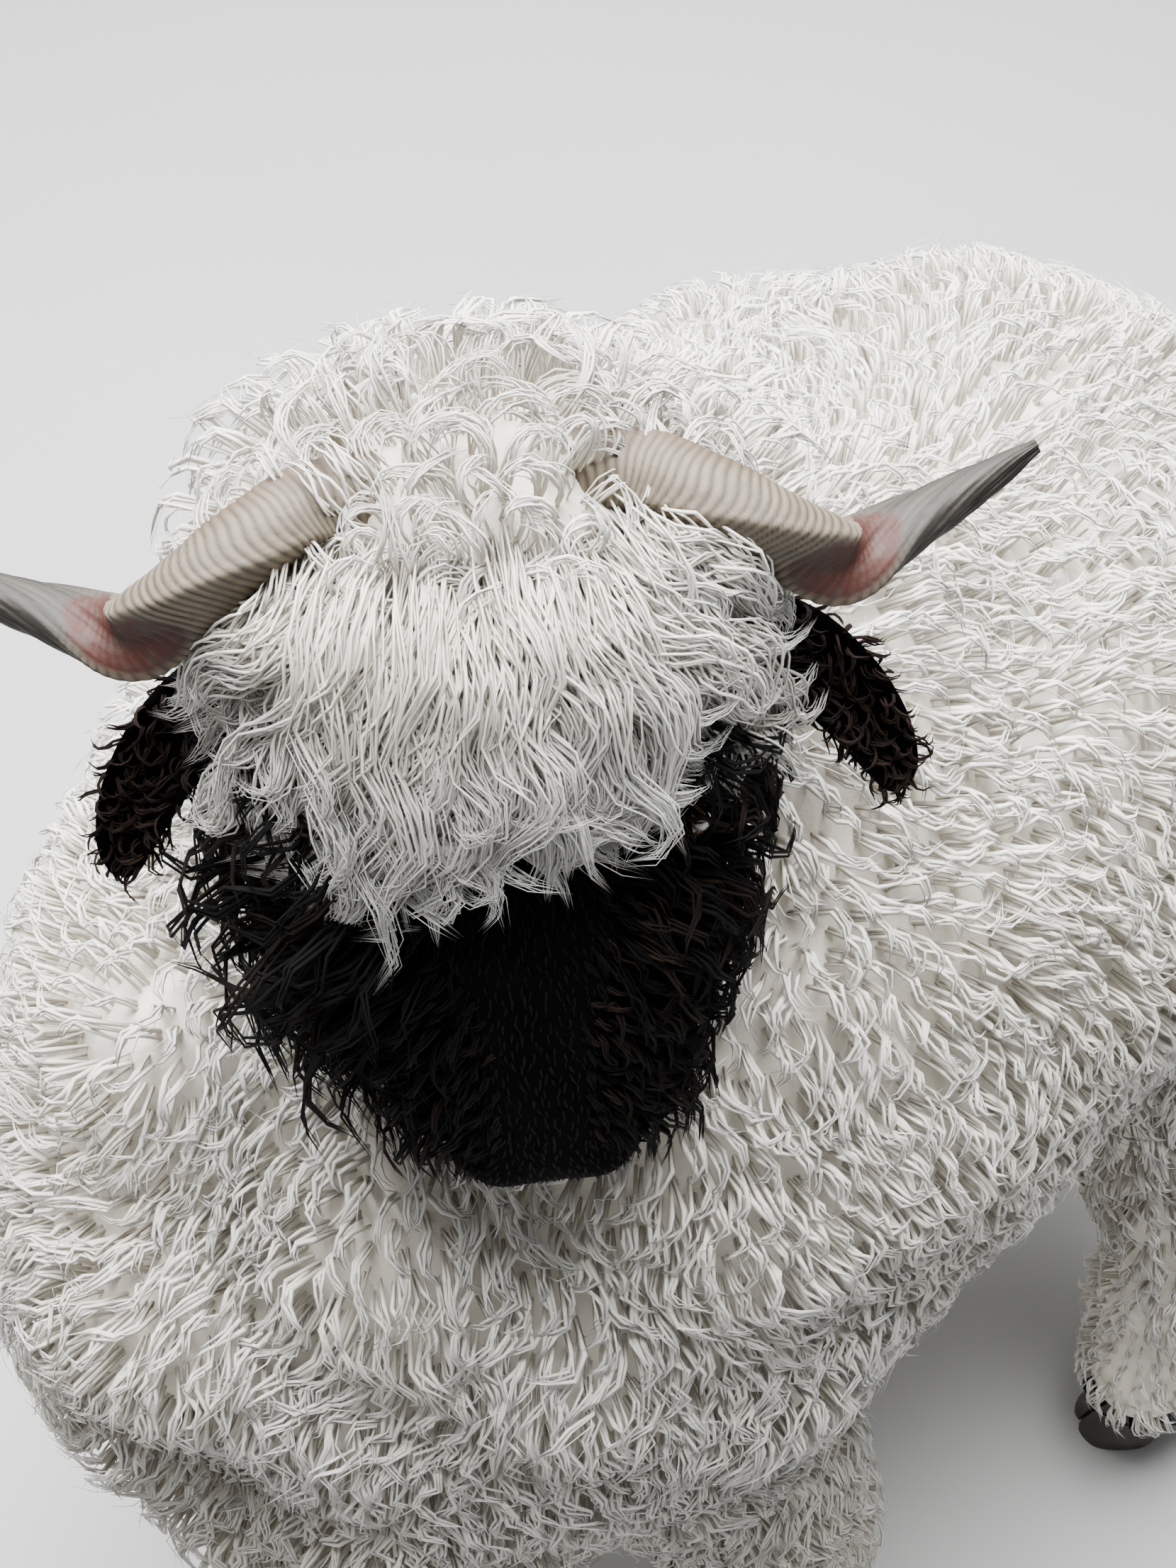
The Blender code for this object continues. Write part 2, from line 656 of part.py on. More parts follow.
def shells(bm):
    """The connected surfaces of a mesh, as lists of faces."""
    left = set(bm.faces)
    groups = []
    while left:
        stack = [left.pop()]
        group = []
        while stack:
            face = stack.pop()
            group.append(face)
            for edge in face.edges:
                for other in edge.link_faces:
                    if other in left:
                        left.remove(other)
                        stack.append(other)
        groups.append(group)
    return groups


def keep_shell(obj, near=None):
    """Keep one closed surface of the object's mesh, the largest or the nearest."""
    bm = bmesh.new()
    bm.from_mesh(obj.data)

    def rank(group):
        if near is None:
            return -sum(face.calc_area() for face in group)
        middle = sum((face.calc_center_median() for face in group), Vector()) / len(group)
        return (middle - near).length

    scraps = [face for group in sorted(shells(bm), key=rank)[1:] for face in group]
    bmesh.ops.delete(bm, geom=scraps, context="FACES")
    bmesh.ops.triangulate(bm, faces=bm.faces)
    bm.to_mesh(obj.data)
    bm.free()
    return obj


def blended(obj, faces):
    """Turn the object's mesh into one even, smooth skin with about so many triangles."""
    blend = obj.modifiers.new("blend", "REMESH")
    blend.mode = "VOXEL"
    blend.voxel_size = GUIDE_VOXEL
    soften = obj.modifiers.new("soften", "SMOOTH")
    soften.factor = 0.5
    soften.iterations = GUIDE_SOFTENING
    baked(obj)
    return thinned(obj, faces)


def thinned(obj, faces):
    """Merge the object's smallest faces until about so many triangles are left."""
    count = sum(len(polygon.vertices) - 2 for polygon in obj.data.polygons)
    thin = obj.modifiers.new("thin", "DECIMATE")
    thin.ratio = min(1.0, faces / count)
    thin.use_collapse_triangulate = True
    return baked(obj)


def scattered(mesh, spacing_at, rng, tries=9000):
    """Points and normals spread over a mesh, no two nearer than the spacing at each."""
    mesh.calc_loop_triangles()
    corners = np.array([[mesh.vertices[i].co for i in tri.vertices] for tri in mesh.loop_triangles])
    cross = np.cross(corners[:, 1] - corners[:, 0], corners[:, 2] - corners[:, 0])
    area = np.linalg.norm(cross, axis=1)
    chosen = rng.choice(len(area), tries, p=area / area.sum())
    spots = []
    for k, (u, v) in zip(chosen, rng.random((tries, 2))):
        if u + v > 1:
            u, v = 1 - u, 1 - v
        a, b, c = corners[k]
        point = a + (b - a) * u + (c - a) * v
        spacing = spacing_at(point)
        if spacing is None:
            continue
        others = np.array([spot for spot, _ in spots]).reshape(-1, 3)
        if np.any(np.linalg.norm(others - point, axis=1) < spacing):
            continue
        spots.append((point, cross[k] / area[k]))
    return [(Vector(point), Vector(normal)) for point, normal in spots]


def clump(point, normal, lie, size, rng):
    """A rounded tuft whose tip lies at the point, leaning along the lie. Its root is sunk."""
    width, length, depth = (half * rng.uniform(0.88, 1.12) for half in size)
    along = (lie - normal * lie.dot(normal)).normalized()
    axes = Matrix((along.cross(normal), along, normal)).transposed()
    mesh = ball("clump", Matrix.Identity(4), 6, 4)
    turn = rng.uniform(0, math.pi)
    for vert in mesh.vertices:
        x, y, z = Matrix.Rotation(turn, 3, "Z") @ vert.co
        taper = 1.0 - 0.30 * max(z, 0.0)
        local = Vector((x * taper * width, (y * taper + CLUMP_LEAN * max(z, 0.0)) * length,
                        (z - 1.0) * depth))
        vert.co = point + axes @ local
    return mesh


def block(point, normal, reach=BIG, across=BIG):
    """A cutting block with one face at the point, reaching along the normal."""
    bm = bmesh.new()
    bmesh.ops.create_cube(bm, size=1.0)
    turn = Vector(normal).normalized().to_track_quat("Z", "Y").to_matrix().to_4x4()
    size = Matrix.Diagonal((across, across, reach, 1))
    move = Matrix.Translation((0, 0, reach / 2))
    bmesh.ops.transform(bm, matrix=Matrix.Translation(point) @ turn @ move @ size, verts=bm.verts)
    mesh = bpy.data.meshes.new("block")
    bm.to_mesh(mesh)
    bm.free()
    return mesh


def copy_of(obj, name, parts):
    """A second object with a copy of the first one's mesh."""
    return add_object(name, obj.data.copy(), parts)


def neck_plane():
    """Plane between trunk and neck, from the withers down to the front of the breast."""
    withers, _, _ = spine(NECK_BACK[0])
    breast, _, left = spine(NECK_FRONT[0])
    top = withers + Vector((0, 0, NECK_BACK[1]))
    low = breast + Vector((0, 0, NECK_FRONT[1]))
    return top, (low - top).cross(left).normalized()


def outline(parts, work, depth, leg_depth):
    """Trunk, neck and legs in one, so deep below the tips of the wool."""
    whole = add_object("whole", trunk(depth), parts)
    pieces = [neck_column(depth), nape(depth), crest(depth)]
    for kind in ("fore", "hind"):
        pieces += [leg(kind, side, leg_depth) for side in ("left", "right")]
    return combine(whole, pieces, "UNION", work)


def wool_scale(point):
    """Size of a clump on the body at the point, against those of the trunk."""
    low, high = LEG_WOOL
    if point[2] < low:
        return None
    return LEG_CLUMP_SCALE + (1 - LEG_CLUMP_SCALE) * min(1.0, max(0.0, (point[2] - high + 0.08) / 0.16))


def fleece(mesh, rng):
    """Clumps over the whole body, out to the given skin."""
    def spacing_at(point):
        scale = wool_scale(point)
        return scale and scale * CLUMP_SPACING

    size = Vector((CLUMP_HALF_WIDTH, CLUMP_HALF_WIDTH, CLUMP_HALF_DEPTH))
    pieces = []
    for point, normal in scattered(mesh, spacing_at, rng):
        lie = Vector((-point.x * 0.2, 0.45, -1.0)) if abs(normal.z) < 0.8 else Vector((0, 1, -0.2))
        pieces.append(clump(point, normal, lie, size * wool_scale(point), rng))
    return pieces


def build_body(parts, work, rng):
    """Trunk, neck and legs: modelled whole, then parted with thin cuts."""
    guide = blended(outline(parts, work, -SOFTENING_LOSS, -SOFTENING_LOSS), GUIDE_FACES)
    core = outline(parts, work, CORE_DEPTH - SOFTENING_LOSS, LEG_CORE_DEPTH - SOFTENING_LOSS)
    whole = blended(core, CORE_FACES)
    combine(whole, fleece(guide.data, rng), "UNION", work)
    thinned(whole, BODY_FACES)
    bpy.data.objects.remove(guide)
    combine(whole, [placed(mesh) for mesh in head_cutters()], "DIFFERENCE", work)

    upper = copy_of(whole, "upper", parts)
    combine(upper, [block((0, 0, LEG_CUT + GAP / 2), (0, 0, -1))], "DIFFERENCE", work)
    top, forward = neck_plane()
    torso = copy_of(upper, "torso", parts)
    combine(torso, [block(top - forward * (GAP / 2), forward)], "DIFFERENCE", work)
    combine(upper, [block(top + forward * (GAP / 2), -forward)], "DIFFERENCE", work)
    upper.name = "neck"

    nodes = [torso, upper]
    for kind in ("fore", "hind"):
        for side in ("left", "right"):
            node = copy_of(whole, f"{kind}leg_{side}", parts)
            x, y = (FORE_FEET if kind == "fore" else HIND_FEET)[side]
            combine(node, [block((0, 0, LEG_CUT - GAP / 2), (0, 0, 1))], "DIFFERENCE", work,
                    Vector((x, y, LEG_CUT / 2)))
            combine(node, [block((x, y, HOOF_TOP + GAP), (0, 0, -1), 0.2, 0.4)], "DIFFERENCE", work)
            nodes.append(node)
    bpy.data.objects.remove(whole)
    return nodes


def placed(mesh):
    """A mesh of the head frame, moved to its place on the animal."""
    mesh.transform(head_frame())
    return mesh


def head_cutters():
    """What the fleece of the body is cut back from: the head's room, horns and ears."""
    pieces = [head_room(GAP)]
    for side in ("left", "right"):
        pieces += [horn(side, GAP), ear(side, GAP)]
    return pieces


def cheek_wool(rng):
    """Short black clumps on cheeks and jaw, in the head frame."""
    surface = head_loft("wool", FACE_WOOL, 3, 24)
    eye = np.array(EYE_PLACE)

    def spacing_at(point):
        x, y, z = point
        on_side = FACE_WOOL[1][0] < y < FACE_WOOL[-1][0] and (abs(x) > 0.055 or z < -0.06)
        near_eye = np.linalg.norm(np.abs(point) * (1, 1, 0) - eye * (1, 1, 0)) < 0.047 and z > -0.045
        return CHEEK_SPACING if on_side and not near_eye else None

    return [clump(point, normal, Vector((0, 1, -0.25)), CHEEK_SIZE, rng)
            for point, normal in scattered(surface, spacing_at, rng, 3000)]


def dome(x, y):
    """Height of the forelock's top above the face at a place on the forehead."""
    return LOCK_HEIGHT - LOCK_SIDE_FALL * x * x - LOCK_FRONT_FALL * y * y


def forelock(rng):
    """Tapered, wavy locks that fan from the parting over the face, longer ones underneath."""
    locks = []
    for count, root, tip, spread, drop, half_width in LOCK_TIERS:
        for i in range(count):
            across = spread * (2 * (i + 0.5) / count - 1) + rng.uniform(-0.003, 0.003)
            aside = across / spread
            end = tip * rng.uniform(0.93, 1.07) * (1 + LOCK_SIDE_REACH * aside ** 2 + LOCK_LEAN * aside)
            phase, sway = rng.uniform(0, 1), LOCK_SWAY * rng.uniform(0.7, 1.3)
            points, radii = [], []
            for k in range(LOCK_SEGMENTS + 1):
                t = k / LOCK_SEGMENTS
                x = across * (0.72 + 0.42 * t) + sway * t * math.sin(2 * math.pi * (1.1 * t + phase))
                y = root + (end - root) * t
                sink = drop + LOCK_ROOT_SINK * (1 - t) ** 6 - LOCK_TIP_LIFT * t ** 4
                points.append(Vector((x, y, dome(x, y) - sink)))
                half = half_width * (1 - 0.78 * t ** 2.2) * rng.uniform(0.94, 1.06)
                radii.append((half, half * LOCK_THICKNESS))
            locks.append(swept("lock", points, radii, count=4, across=Vector((1, 0, 0))))
    return locks


def crown_curls(rng):
    """Small curls on the crown, behind the parting and down beside the horns."""
    size = Matrix.Diagonal((*[radius + CURL_DEPTH for radius in CAP_RADII], 1))
    surface = ball("crown", Matrix.Translation(CAP_CENTRE) @ size, 24, 16)

    def spacing_at(point):
        behind = point[1] < 0.012 and point[2] > -0.03
        beside = point[1] < 0.060 and abs(point[0]) > 0.078 and point[2] > -0.02
        return CURL_SPACING if behind or beside else None

    return [clump(point, normal, Vector((point.x, -1.0, 0.2)), (CURL_SIZE,) * 3, rng)
            for point, normal in scattered(surface, spacing_at, rng, 3000)]


def build_head(parts, work, rng):
    """The head with wool, lids, lips, mouth and nostrils, and its eyes, ears and horns."""
    head = add_object("head", skull(), parts)
    cap = ball("cap", Matrix.Translation(CAP_CENTRE) @ Matrix.Diagonal((*CAP_RADII, 1)), 14, 8)
    stem = ball("stem", Matrix.Translation(STEM_CENTRE) @ Matrix.Diagonal((*STEM_RADII, 1)), 14, 8)
    lips = [lip(LIP_HEIGHT), lip(-LIP_HEIGHT)]
    wool = [*cheek_wool(rng), *forelock(rng), *crown_curls(rng)]
    combine(head, [cap, stem, *wool], "UNION", work)
    thinned(head, HEAD_FACES)
    combine(head, [eyelids("left"), eyelids("right"), *lips], "UNION", work)
    combine(head, [head_room()], "INTERSECT", work)
    cutters = [mouth_groove(), nostril("left"), nostril("right")]
    for side in ("left", "right"):
        cutters += [horn(side, GAP), ear(side, GAP), eyeball(side, GAP)]
    combine(head, cutters, "DIFFERENCE", work)
    nodes = [head]
    for side in ("left", "right"):
        for name, mesh in (("eye", eyeball(side)), ("ear", ear(side)), ("horn", horn(side))):
            nodes.append(add_object(f"{name}_{side}", mesh, parts))
    for node in nodes:
        placed(node.data)
    return nodes


def build_hooves(parts, work):
    """Four cloven feet."""
    nodes = []
    for kind, feet in (("fore", FORE_FEET), ("hind", HIND_FEET)):
        for side, (x, y) in feet.items():
            node = add_object(f"hoof_{kind}_{side}", pastern(), parts)
            combine(node, [claw(1), claw(-1)], "UNION", work)
            node.data.transform(Matrix.Translation((x, y, 0)) @ hoof_turn(kind))
            nodes.append(node)
    return nodes


def build_tail(parts, work, torso, rng):
    """The tail, flat against the rump, and the groove in the fleece that it lies in."""
    root, back, left = spine(TRUNK[-1][0])
    plane = root - back * TAIL_SEAT
    groove = []
    for height in (TAIL_TIP - 0.2, TAIL_TOP + 0.035):
        for across, away in ((-1, 0), (1, 0), (1, 0.2), (-1, 0.2)):
            groove.append(plane + left * (across * (TAIL_HALF_WIDTH + TAIL_SIDE)) + back * away
                          + Vector((0, 0, height)))
    combine(torso, [closed_mesh("groove", [groove[:4], groove[4:]])], "DIFFERENCE", work)
    surface = closed_mesh("tail", tail_rings())
    tail = add_object("tail", closed_mesh("tail", tail_rings(LEG_CORE_DEPTH)), parts)
    size = Vector((CLUMP_HALF_WIDTH, CLUMP_HALF_WIDTH, CLUMP_HALF_DEPTH)) * LEG_CLUMP_SCALE
    spots = scattered(surface, lambda point: CLUMP_SPACING * LEG_CLUMP_SCALE, rng, 2000)
    wool = [clump(point, normal, Vector((0, 0, -1)), size, rng) for point, normal in spots]
    combine(tail, wool, "UNION", work)
    thinned(tail, TAIL_FACES)
    combine(tail, [block(plane + back * GAP, -back)], "DIFFERENCE", work)
    for sign in (-1, 1):
        side = root + left * (sign * (TAIL_HALF_WIDTH + TAIL_SIDE - GAP))
        combine(tail, [block(side, left * sign)], "DIFFERENCE", work)
    return tail


def centre_on_floor(nodes):
    """Move every node so that the middle of the whole stands over the origin."""
    points = np.array([vert.co for node in nodes for vert in node.data.vertices])
    low, high = points.min(axis=0), points.max(axis=0)
    shift = Vector((-(low[0] + high[0]) / 2, -(low[1] + high[1]) / 2, 0))
    for node in nodes:
        node.data.transform(Matrix.Translation(shift))


def finish(nodes):
    """Give each node its material."""
    wool = material("wool", WOOL, 0.95)
    black = material("black_wool", BLACK_WOOL, 0.85)
    horny = material("horn", HORN, 0.6)
    wet = material("eye", EYE, 0.1)
    hoof = material("hoof", HOOF, 0.5)
    slots = {"head": black, "ear": black, "eye": wet, "horn": horny, "hoof": hoof}
    for node in nodes:
        node.data.materials.clear()
        node.data.materials.append(slots.get(node.name.split("_")[0], wool))


def main():
    """Build every node."""
    for obj in list(bpy.data.objects):
        bpy.data.objects.remove(obj)
    parts = bpy.data.collections.new("Valais_Blacknose_sheep")
    work = bpy.data.collections.new("Cutters")
    bpy.context.scene.collection.children.link(parts)
    bpy.context.scene.collection.children.link(work)
    rng = np.random.default_rng(SEED)
    nodes = build_body(parts, work, rng)
    nodes.append(build_tail(parts, work, nodes[0], rng))
    nodes += build_head(parts, work, rng)
    nodes += build_hooves(parts, work)
    centre_on_floor(nodes)
    finish(nodes)


main()
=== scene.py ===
"""Looks of the Valais Blacknose sheep: one skin with its fleece, forelock, face, horns and feet.

Metres, +Z up. The head frame has x to the sheep's right, y from the poll to the muzzle and z
out of the forehead. Each kind of coat draws its variation from a seeded generator of its own.
"""

import math

import bmesh
import bpy
import numpy as np
from mathutils import Matrix, Vector
from mathutils.bvhtree import BVHTree


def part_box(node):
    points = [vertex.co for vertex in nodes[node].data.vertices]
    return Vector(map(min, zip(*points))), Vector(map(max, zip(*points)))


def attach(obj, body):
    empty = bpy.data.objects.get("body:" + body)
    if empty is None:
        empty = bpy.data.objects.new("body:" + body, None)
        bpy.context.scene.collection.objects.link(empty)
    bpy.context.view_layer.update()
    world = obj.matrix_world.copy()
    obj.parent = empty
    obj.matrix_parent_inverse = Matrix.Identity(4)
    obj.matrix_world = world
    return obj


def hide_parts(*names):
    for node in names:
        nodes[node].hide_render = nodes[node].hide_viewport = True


SEED = 5
PIECE_TRIANGLES = 190000         # at most, in one piece of the coat
PATCH = 0.003                    # of a tuft on the coat's map

# Camera, against the left eye
CAMERA_PLACE = (0.5312, -0.4799, 1.50)
CAMERA_TURN = (math.radians(38), 0.0, math.radians(60))
CAMERA_LENS = 47.2
SENSOR = 36.0

# Head
POLL = (0.0780, -0.2600, 0.985)
HEAD_YAW = math.radians(65)
HEAD_DROP = math.radians(58)
HEAD_TILT = math.radians(2.5)
SKULL = (                        # place from poll to muzzle, half width, front, back
    (-0.050, 0.030, 0.018, -0.030),
    (-0.040, 0.052, 0.030, -0.066),
    (-0.010, 0.068, 0.038, -0.096),
    (0.040, 0.074, 0.043, -0.112),
    (0.090, 0.072, 0.043, -0.116),
    (0.135, 0.064, 0.038, -0.108),
    (0.175, 0.052, 0.030, -0.094),
    (0.205, 0.046, 0.021, -0.083),
    (0.230, 0.043, 0.010, -0.077),
    (0.249, 0.038, -0.002, -0.072),
    (0.261, 0.028, -0.020, -0.062),
    (0.266, 0.010, -0.034, -0.046),
)
SKULL_POWER = 2.2
CAP_CENTRE = (0.0, 0.012, -0.006)
CAP_RADII = (0.078, 0.072, 0.052)
STEM_CENTRE = (0.0, 0.050, -0.125)
STEM_RADII = (0.064, 0.074, 0.066)
EYE_PLACE = (0.0590, 0.098, 0.006)
EYE_RADIUS = 0.0135
EYE_LOOK = (0.86, 0.02, 0.50)
LID_RING = (0.0068, 0.0168, 0.0105)
LID_HALVES = (0.0040, 0.0028)
MOUTH_MIDDLE = (0.222, -0.052)
MOUTH_TURN = math.radians(118)
MOUTH_DROP = 0.010
NOSTRIL_PLACE = (0.0175, 0.250, -0.016)
NOSTRIL_RADII = (0.0040, 0.0085, 0.0100)
EAR_PATH = ((0.062, 0.024, -0.026), (0.130, 0.050, -0.012), (0.152, 0.118, -0.040))
EAR_HALF_WIDTH = 0.021
EAR_THICK = 0.0050
EAR_CUP = 0.013
HORN_PATH = (                    # centre, wide half, narrow half, twist in degrees
    ((0.030, -0.030, 0.012), 0.0165, 0.0130, 0),
    ((0.055, -0.029, 0.026), 0.0170, 0.0130, 10),
    ((0.0735, -0.0215, 0.037), 0.0165, 0.0125, 25),
    ((0.092, -0.012, 0.041), 0.0160, 0.0120, 50),
    ((0.108, -0.001, 0.036), 0.0160, 0.0115, 80),
    ((0.120, 0.007, 0.028), 0.0160, 0.0110, 115),
    ((0.137, 0.0045, 0.018), 0.0140, 0.0100, 150),
    ((0.159, -0.004, 0.011), 0.0110, 0.0080, 180),
    ((0.181, -0.013, 0.005), 0.0070, 0.0050, 200),
    ((0.195, -0.019, 0.001), 0.0025, 0.0020, 210),
)
HORN_RING = 0.0030               # from one raised ring of a horn to the next
HORN_RING_HEIGHT = 0.0006
HORN_CORNERS = (75.0, -45.0, -160.0)  # of its section, in degrees from the wide axis
HORN_HOLLOW = -102.0             # middle of its hollow face

# Forelock and crown
LOCK_HEIGHT = 0.084              # of the forelock's top above the face, at the parting
LOCK_SIDE_FALL = 4.6
LOCK_FRONT_FALL = 1.75
LOCK_REACH = (0.102, 0.30)       # tip line: y in the middle, gain to the sheep's right
LOCK_RISE = (0.060, 62.0, 140.0) # where the tip line turns up at the sides, and how fast on right and left
LOCK_SIDE = 0.110                # farthest from the middle
LOCK_COUNT = 205
LOCK_STRANDS = 21
LOCK_RADIUS = 0.0085             # of a lock's bundle near its root
CROWN_SPACING = 0.0068
CROWN_STRANDS = 6

# Body
SKIN_VOXEL = 0.0085
SKIN_SOFTENING = 60
TRUNK_SOFTENING = 170            # rounds more, above the legs
ENVELOPE_START = 0.055           # outside the skin, where the search for the coat's tips starts
ENVELOPE_ROUNDS = 8
ENVELOPE_BLUR = 70
COAT_DEPTH = 0.023               # of the skin below the tips of the coat
LEG_COAT_DEPTH = 0.013
FLEECE_SPACING = 0.0092          # from one wisp of wool to the next
WISPS = 3                        # side by side at each place
HAIRS = 1                        # finer, beside them
FACE_SPACING = 0.0046
EAR_SPACING = 0.0038
MUZZLE_SPACING = 0.0033
HOOF_TOP = 0.052
CLAW_LENGTH = 0.056
CLAW_WIDTH = 0.023
CLEFT = 0.003
KNEE_HEIGHT = 0.205
HOCK_HEIGHT = 0.225
SPOT_RADII = (0.052, 0.052, 0.040)
SPINE = (-0.030, 0.057, 1.0)     # x and y of the spine's bend before centring, and its bend
FEET = {                         # hoof, its leg, its turn
    "hoof_fore_left": ("foreleg_left", 0.600), "hoof_fore_right": ("foreleg_right", 0.600),
    "hoof_hind_left": ("hindleg_left", -0.430), "hoof_hind_right": ("hindleg_right", -0.430),
}

# Colours, linear
WOOL_TIP = (0.93, 0.92, 0.90)
# Wool at the root: painted shade deep in the coat, darker than the tip's own colour
WOOL_ROOT_SHADE = (0.80, 0.76, 0.67)
WOOL_YELLOW = (0.84, 0.76, 0.60)
# Grey-brown: grey wool at the forelock's rim and the parting, and painted shade low on the fleece
WOOL_GREY = (0.24, 0.21, 0.17)
# Skin under the fleece, coloured as deep wool in painted shade
UNDERWOOL_SHADE = (0.76, 0.71, 0.61)
BLACK = (0.0010, 0.0010, 0.0012)
BLACK_TIP = (0.0034, 0.0029, 0.0028)
BROWN_BLACK = (0.026, 0.015, 0.010)
HORN_PALE = (0.150, 0.122, 0.086)
HORN_LINE = (0.036, 0.026, 0.018)
HORN_BROWN = (0.068, 0.036, 0.019)
HORN_GREY = (0.052, 0.046, 0.038)
HORN_DARK = (0.013, 0.011, 0.009)
HORN_RED = (0.042, 0.0085, 0.0050)
HOOF_DARK = (0.030, 0.026, 0.022)


def smooth(stations, steps):
    """Catmull-Rom curve through rows of numbers, with steps points to each span."""
    rows = np.array(stations, dtype=float)
    padded = np.vstack((2 * rows[0] - rows[1], rows, 2 * rows[-1] - rows[-2]))
    result = []
    for k in range(len(rows) - 1):
        before, start, end, after = padded[k:k + 4]
        for i in range(steps):
            t = i / steps
            result.append(0.5 * (2 * start + (end - before) * t
                                 + (2 * before - 5 * start + 4 * end - after) * t ** 2
                                 + (3 * start - before - 3 * end + after) * t ** 3))
    result.append(rows[-1])
    return np.array(result)


def unit(vectors):
    """The same directions with length 1, for an array of vectors."""
    return vectors / np.maximum(np.linalg.norm(vectors, axis=-1, keepdims=True), 1e-9)


def grid_mesh(name, rings):
    """A closed skin of quads through rings of points, with fans at both ends."""
    rings = np.array(rings, dtype=float)
    rows, count = rings.shape[:2]
    verts = [*rings.reshape(-1, 3), rings[0].mean(axis=0), rings[-1].mean(axis=0)]
    faces = []
    for k in range(rows - 1):
        for i in range(count):
            j = (i + 1) % count
            faces.append((k * count + i, k * count + j, (k + 1) * count + j, (k + 1) * count + i))
    first, last = rows * count, rows * count + 1
    for i in range(count):
        j = (i + 1) % count
        faces.append((first, j, i))
        faces.append((last, (rows - 1) * count + i, (rows - 1) * count + j))
    mesh = bpy.data.meshes.new(name)
    mesh.from_pydata([tuple(point) for point in verts], [], faces)
    bm = bmesh.new()
    bm.from_mesh(mesh)
    bmesh.ops.recalc_face_normals(bm, faces=bm.faces)
    bm.to_mesh(mesh)
    bm.free()
    return mesh


def ball(name, centre, radii, segments=48, rings=32):
    """A closed ball with three radii."""
    bm = bmesh.new()
    bmesh.ops.create_uvsphere(bm, u_segments=segments, v_segments=rings, radius=1.0)
    bmesh.ops.transform(bm, matrix=Matrix.Translation(centre) @ Matrix.Diagonal((*radii, 1)),
                        verts=bm.verts)
    mesh = bpy.data.meshes.new(name)
    bm.to_mesh(mesh)
    bm.free()
    return mesh


def add_object(name, mesh):
    """A new object in the scene."""
    obj = bpy.data.objects.new(name, mesh)
    bpy.context.scene.collection.objects.link(obj)
    return obj


def baked(obj):
    """The object with its modifiers applied."""
    graph = bpy.context.evaluated_depsgraph_get()
    mesh = bpy.data.meshes.new_from_object(obj.evaluated_get(graph))
    obj.modifiers.clear()
    obj.data = mesh
    return obj


def joined(name, meshes):
    """One object that holds several meshes."""
    bm = bmesh.new()
    for mesh in meshes:
        bm.from_mesh(mesh)
    mesh = bpy.data.meshes.new(name)
    bm.to_mesh(mesh)
    bm.free()
    return add_object(name, mesh)


def remeshed(obj, voxel, iterations):
    """Fuse the object's meshes into one even skin and soften it."""
    blend = obj.modifiers.new("blend", "REMESH")
    blend.mode = "VOXEL"
    blend.voxel_size = voxel
    soften = obj.modifiers.new("soften", "SMOOTH")
    soften.factor = 0.5
    soften.iterations = iterations
    return baked(obj)


def combine(obj, meshes, operation):
    """Join closed meshes to the object or cut them from it."""
    group = bpy.data.collections.new("pieces")
    bpy.context.scene.collection.children.link(group)
    pieces = []
    for mesh in meshes:
        piece = bpy.data.objects.new("piece", mesh)
        group.objects.link(piece)
        pieces.append(piece)
    join = obj.modifiers.new("combine", "BOOLEAN")
    join.operation = operation
    join.operand_type = "COLLECTION"
    join.collection = group
    join.solver = "MANIFOLD"
    baked(obj)
    for piece in pieces:
        bpy.data.objects.remove(piece)
    bpy.data.collections.remove(group)
    return obj


def coordinates(mesh):
    """The vertices of a mesh as an array."""
    flat = np.empty(len(mesh.vertices) * 3)
    mesh.vertices.foreach_get("co", flat)
    return flat.reshape(-1, 3)


def set_coordinates(mesh, points):
    """Move the vertices of a mesh."""
    mesh.vertices.foreach_set("co", np.asarray(points).ravel())
    mesh.update()


def vertex_normals(mesh):
    """The vertex normals of a mesh as an array."""
    flat = np.empty(len(mesh.vertices) * 3)
    mesh.vertices.foreach_get("normal", flat)
    return flat.reshape(-1, 3)


def triangles(mesh):
    """The corner numbers of the mesh's triangles as an array."""
    mesh.calc_loop_triangles()
    flat = np.empty(len(mesh.loop_triangles) * 3, dtype=np.int32)
    mesh.loop_triangles.foreach_get("vertices", flat)
    return flat.reshape(-1, 3)


def tree_of(meshes):
    """A search tree over the triangles of several meshes."""
    points, faces = [], []
    for mesh in meshes:
        base = len(points)
        points += [tuple(point) for point in coordinates(mesh)]
        faces += [tuple(int(i) + base for i in face) for face in triangles(mesh)]
    return BVHTree.FromPolygons(points, faces)


def head_matrix(shift):
    """Matrix from the head frame to the model's."""
    ahead = Vector((math.cos(HEAD_DROP) * math.sin(HEAD_YAW),
                    -math.cos(HEAD_DROP) * math.cos(HEAD_YAW), -math.sin(HEAD_DROP)))
    out = Vector((math.sin(HEAD_DROP) * math.sin(HEAD_YAW),
                  -math.sin(HEAD_DROP) * math.cos(HEAD_YAW), math.cos(HEAD_DROP)))
    turned = Matrix((ahead.cross(out), ahead, out)).transposed().to_4x4()
    tilt = Matrix.Rotation(HEAD_TILT, 4, "Z")
    return Matrix.Translation(Vector(POLL) + shift) @ turned @ tilt


def moved(points, matrix):
    """An array of points moved by a matrix."""
    m = np.array(matrix)
    return points @ m[:3, :3].T + m[:3, 3]


def section(centre, side, up, half_width, above, below, count, power):
    """A ring of points round the centre, with its own reach above and below."""
    a = 2 * math.pi * np.arange(count) / count
    c = np.sign(np.cos(a)) * np.abs(np.cos(a)) ** (2 / power)
    s = np.sign(np.sin(a)) * np.abs(np.sin(a)) ** (2 / power)
    reach = np.where(s > 0, above, below)
    return centre + np.outer(c * half_width, side) + np.outer(s * reach, up)


